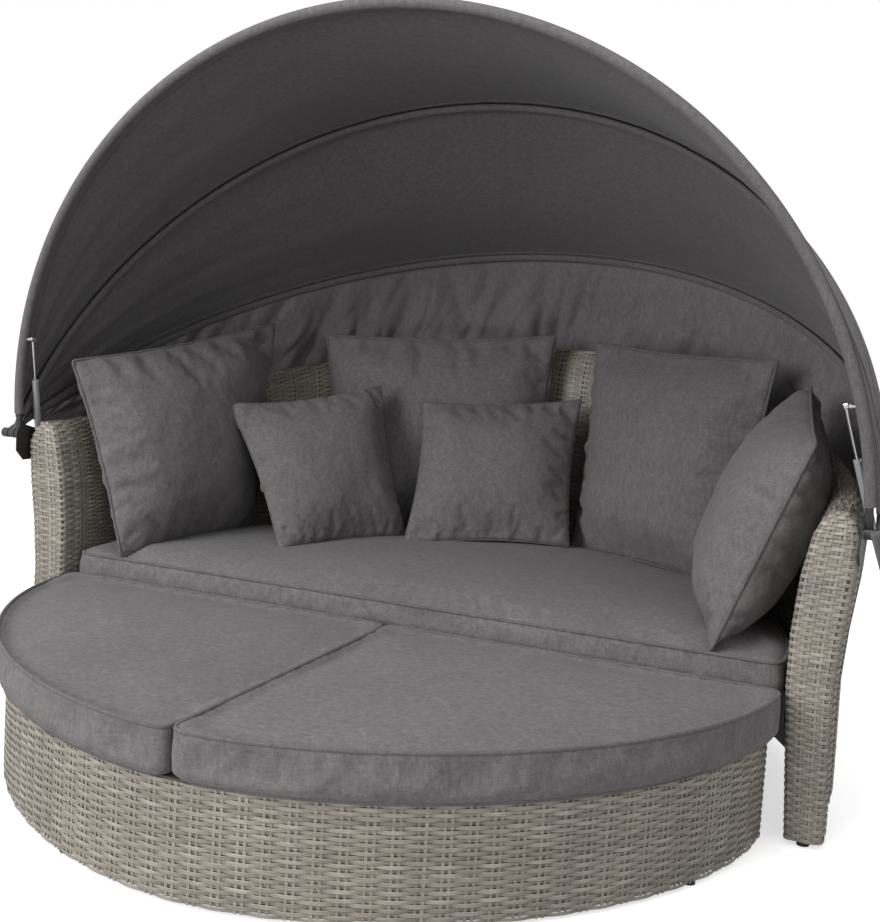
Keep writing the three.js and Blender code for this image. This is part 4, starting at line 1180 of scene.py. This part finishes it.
# The loose end of the hem that sticks out below the right pivot
def hem_end():
    corners = [Vector(c) for c in HEM_END_CORNERS]
    size = 9
    grid = np.zeros((size, size, 3))
    for i in range(size):
        for j in range(size):
            u, v = i / (size - 1), j / (size - 1)
            point = corners[0].lerp(corners[1], u).lerp(corners[3].lerp(corners[2], u), v)
            curl = HEM_END_CURL * math.sin(math.pi * u) * (1 - v)
            point += Vector((curl, SHIFT, HEM_END_WAVE * math.sin(5 * u) * v))
            grid[i, j] = point
    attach(canopy_sheet("canopy_hem_end", grid, HEM_END_THICKNESS), "front_bow")


def make_canopy():
    panel("canopy_front_cloth", "canopy_front_panel", "front", "middle")
    panel("canopy_middle_cloth", "canopy_middle_panel", "middle", "rear")
    bow_sleeve("front_bow_sleeve", "front", "front_bow", "middle", None)
    bow_sleeve("middle_bow_sleeve", "middle", "middle_bow", "rear", "front")
    bow_sleeve("rear_bow_sleeve", "rear", "sofa", None, "middle")
    hem_band("front_hem", "front", "middle", HEM_INNER, FRONT_HEM)
    hem_band("middle_hem_front", "front", "middle", -HEM_INNER, -HEM)
    hem_band("middle_hem_back", "middle", "rear", HEM_INNER, HEM)
    hem_band("rear_hem", "middle", "rear", -HEM_INNER, -HEM)
    curtain()
    hem_stitches()
    hem_end()


# Floor and light

FLOOR_SIZE = 40.0
FLOOR_SEEN = (0.9, 0.9, 0.9)
FLOOR_BOUNCE = (0.4, 0.4, 0.4)
FLOOR_GLOW = 0.62
SKY_LIGHT = 0.42
# Each lamp's place, what it points at, its size and its power
LAMPS = {
    "front": ((-2.4, -6.4, 2.2), (0.1, 0.6, 0.95), 2.6, 214.0),
    "key": ((-2.8, -4.4, 4.6), (0.0, 0.0, 0.6), 3.0, 74.0),
    "top": ((-0.4, -2.2, 5.4), (0.0, -0.2, 0.4), 3.0, 102.0),
    "fill": ((4.2, -4.6, 2.4), (0.4, 0.4, 0.9), 3.0, 42.0),
    "back": ((0.5, 4.5, 4.2), (0.0, 0.4, 0.9), 3.0, 45.0),
}


# White to the camera, with the object's shadow on it; darker to the light that bounces off it
def floor_material():
    material, tree, shader, _ = node_material("floor", 0.9)
    path = tree.nodes.new("ShaderNodeLightPath")
    shown = add_values(tree, [path.outputs["Is Camera Ray"], path.outputs["Is Glossy Ray"]])
    colour = ramp(tree, shown, [(0.0, FLOOR_BOUNCE), (1.0, FLOOR_SEEN)])
    tree.links.new(colour, shader.inputs["Base Color"])
    shader.inputs["Emission Color"].default_value = (1.0, 1.0, 1.0, 1.0)
    glow = tree.nodes.new("ShaderNodeMath")
    glow.operation = "MULTIPLY"
    glow.inputs[1].default_value = FLOOR_GLOW
    tree.links.new(path.outputs["Is Camera Ray"], glow.inputs[0])
    tree.links.new(glow.outputs[0], shader.inputs["Emission Strength"])
    return material


def make_studio():
    bpy.ops.mesh.primitive_plane_add(size=FLOOR_SIZE, location=(0.0, 0.0, 0.0))
    floor = bpy.context.object
    floor.name = "floor"
    floor.data.materials.append(floor_material())
    world = bpy.data.worlds.new("studio")
    world.use_nodes = True
    tree = world.node_tree
    background = tree.nodes["Background"]
    background.inputs["Color"].default_value = (1.0, 1.0, 1.0, 1.0)
    path = tree.nodes.new("ShaderNodeLightPath")
    shown = tree.nodes.new("ShaderNodeMath")
    shown.operation = "MAXIMUM"
    tree.links.new(path.outputs["Is Camera Ray"], shown.inputs[0])
    tree.links.new(path.outputs["Is Glossy Ray"], shown.inputs[1])
    strength = tree.nodes.new("ShaderNodeMapRange")
    set_inputs(strength, {"To Min": SKY_LIGHT, "To Max": 1.0})
    tree.links.new(shown.outputs[0], strength.inputs["Value"])
    tree.links.new(strength.outputs["Result"], background.inputs["Strength"])
    bpy.context.scene.world = world
    for name, values in LAMPS.items():
        add_lamp(name, *values)


def add_lamp(name, place, target, size, power):
    data = bpy.data.lights.new(name, "AREA")
    data.size = size
    data.energy = power
    lamp = bpy.data.objects.new(name, data)
    lamp.location = place
    direction = Vector(target) - Vector(place)
    lamp.rotation_mode = "QUATERNION"
    lamp.rotation_quaternion = direction.to_track_quat("-Z", "Y")
    bpy.context.scene.collection.objects.link(lamp)


make_camera()
dress_frame()
make_weaves()
make_cushions()
make_canopy()
make_studio()
bpy.context.scene.view_settings.view_transform = "Standard"
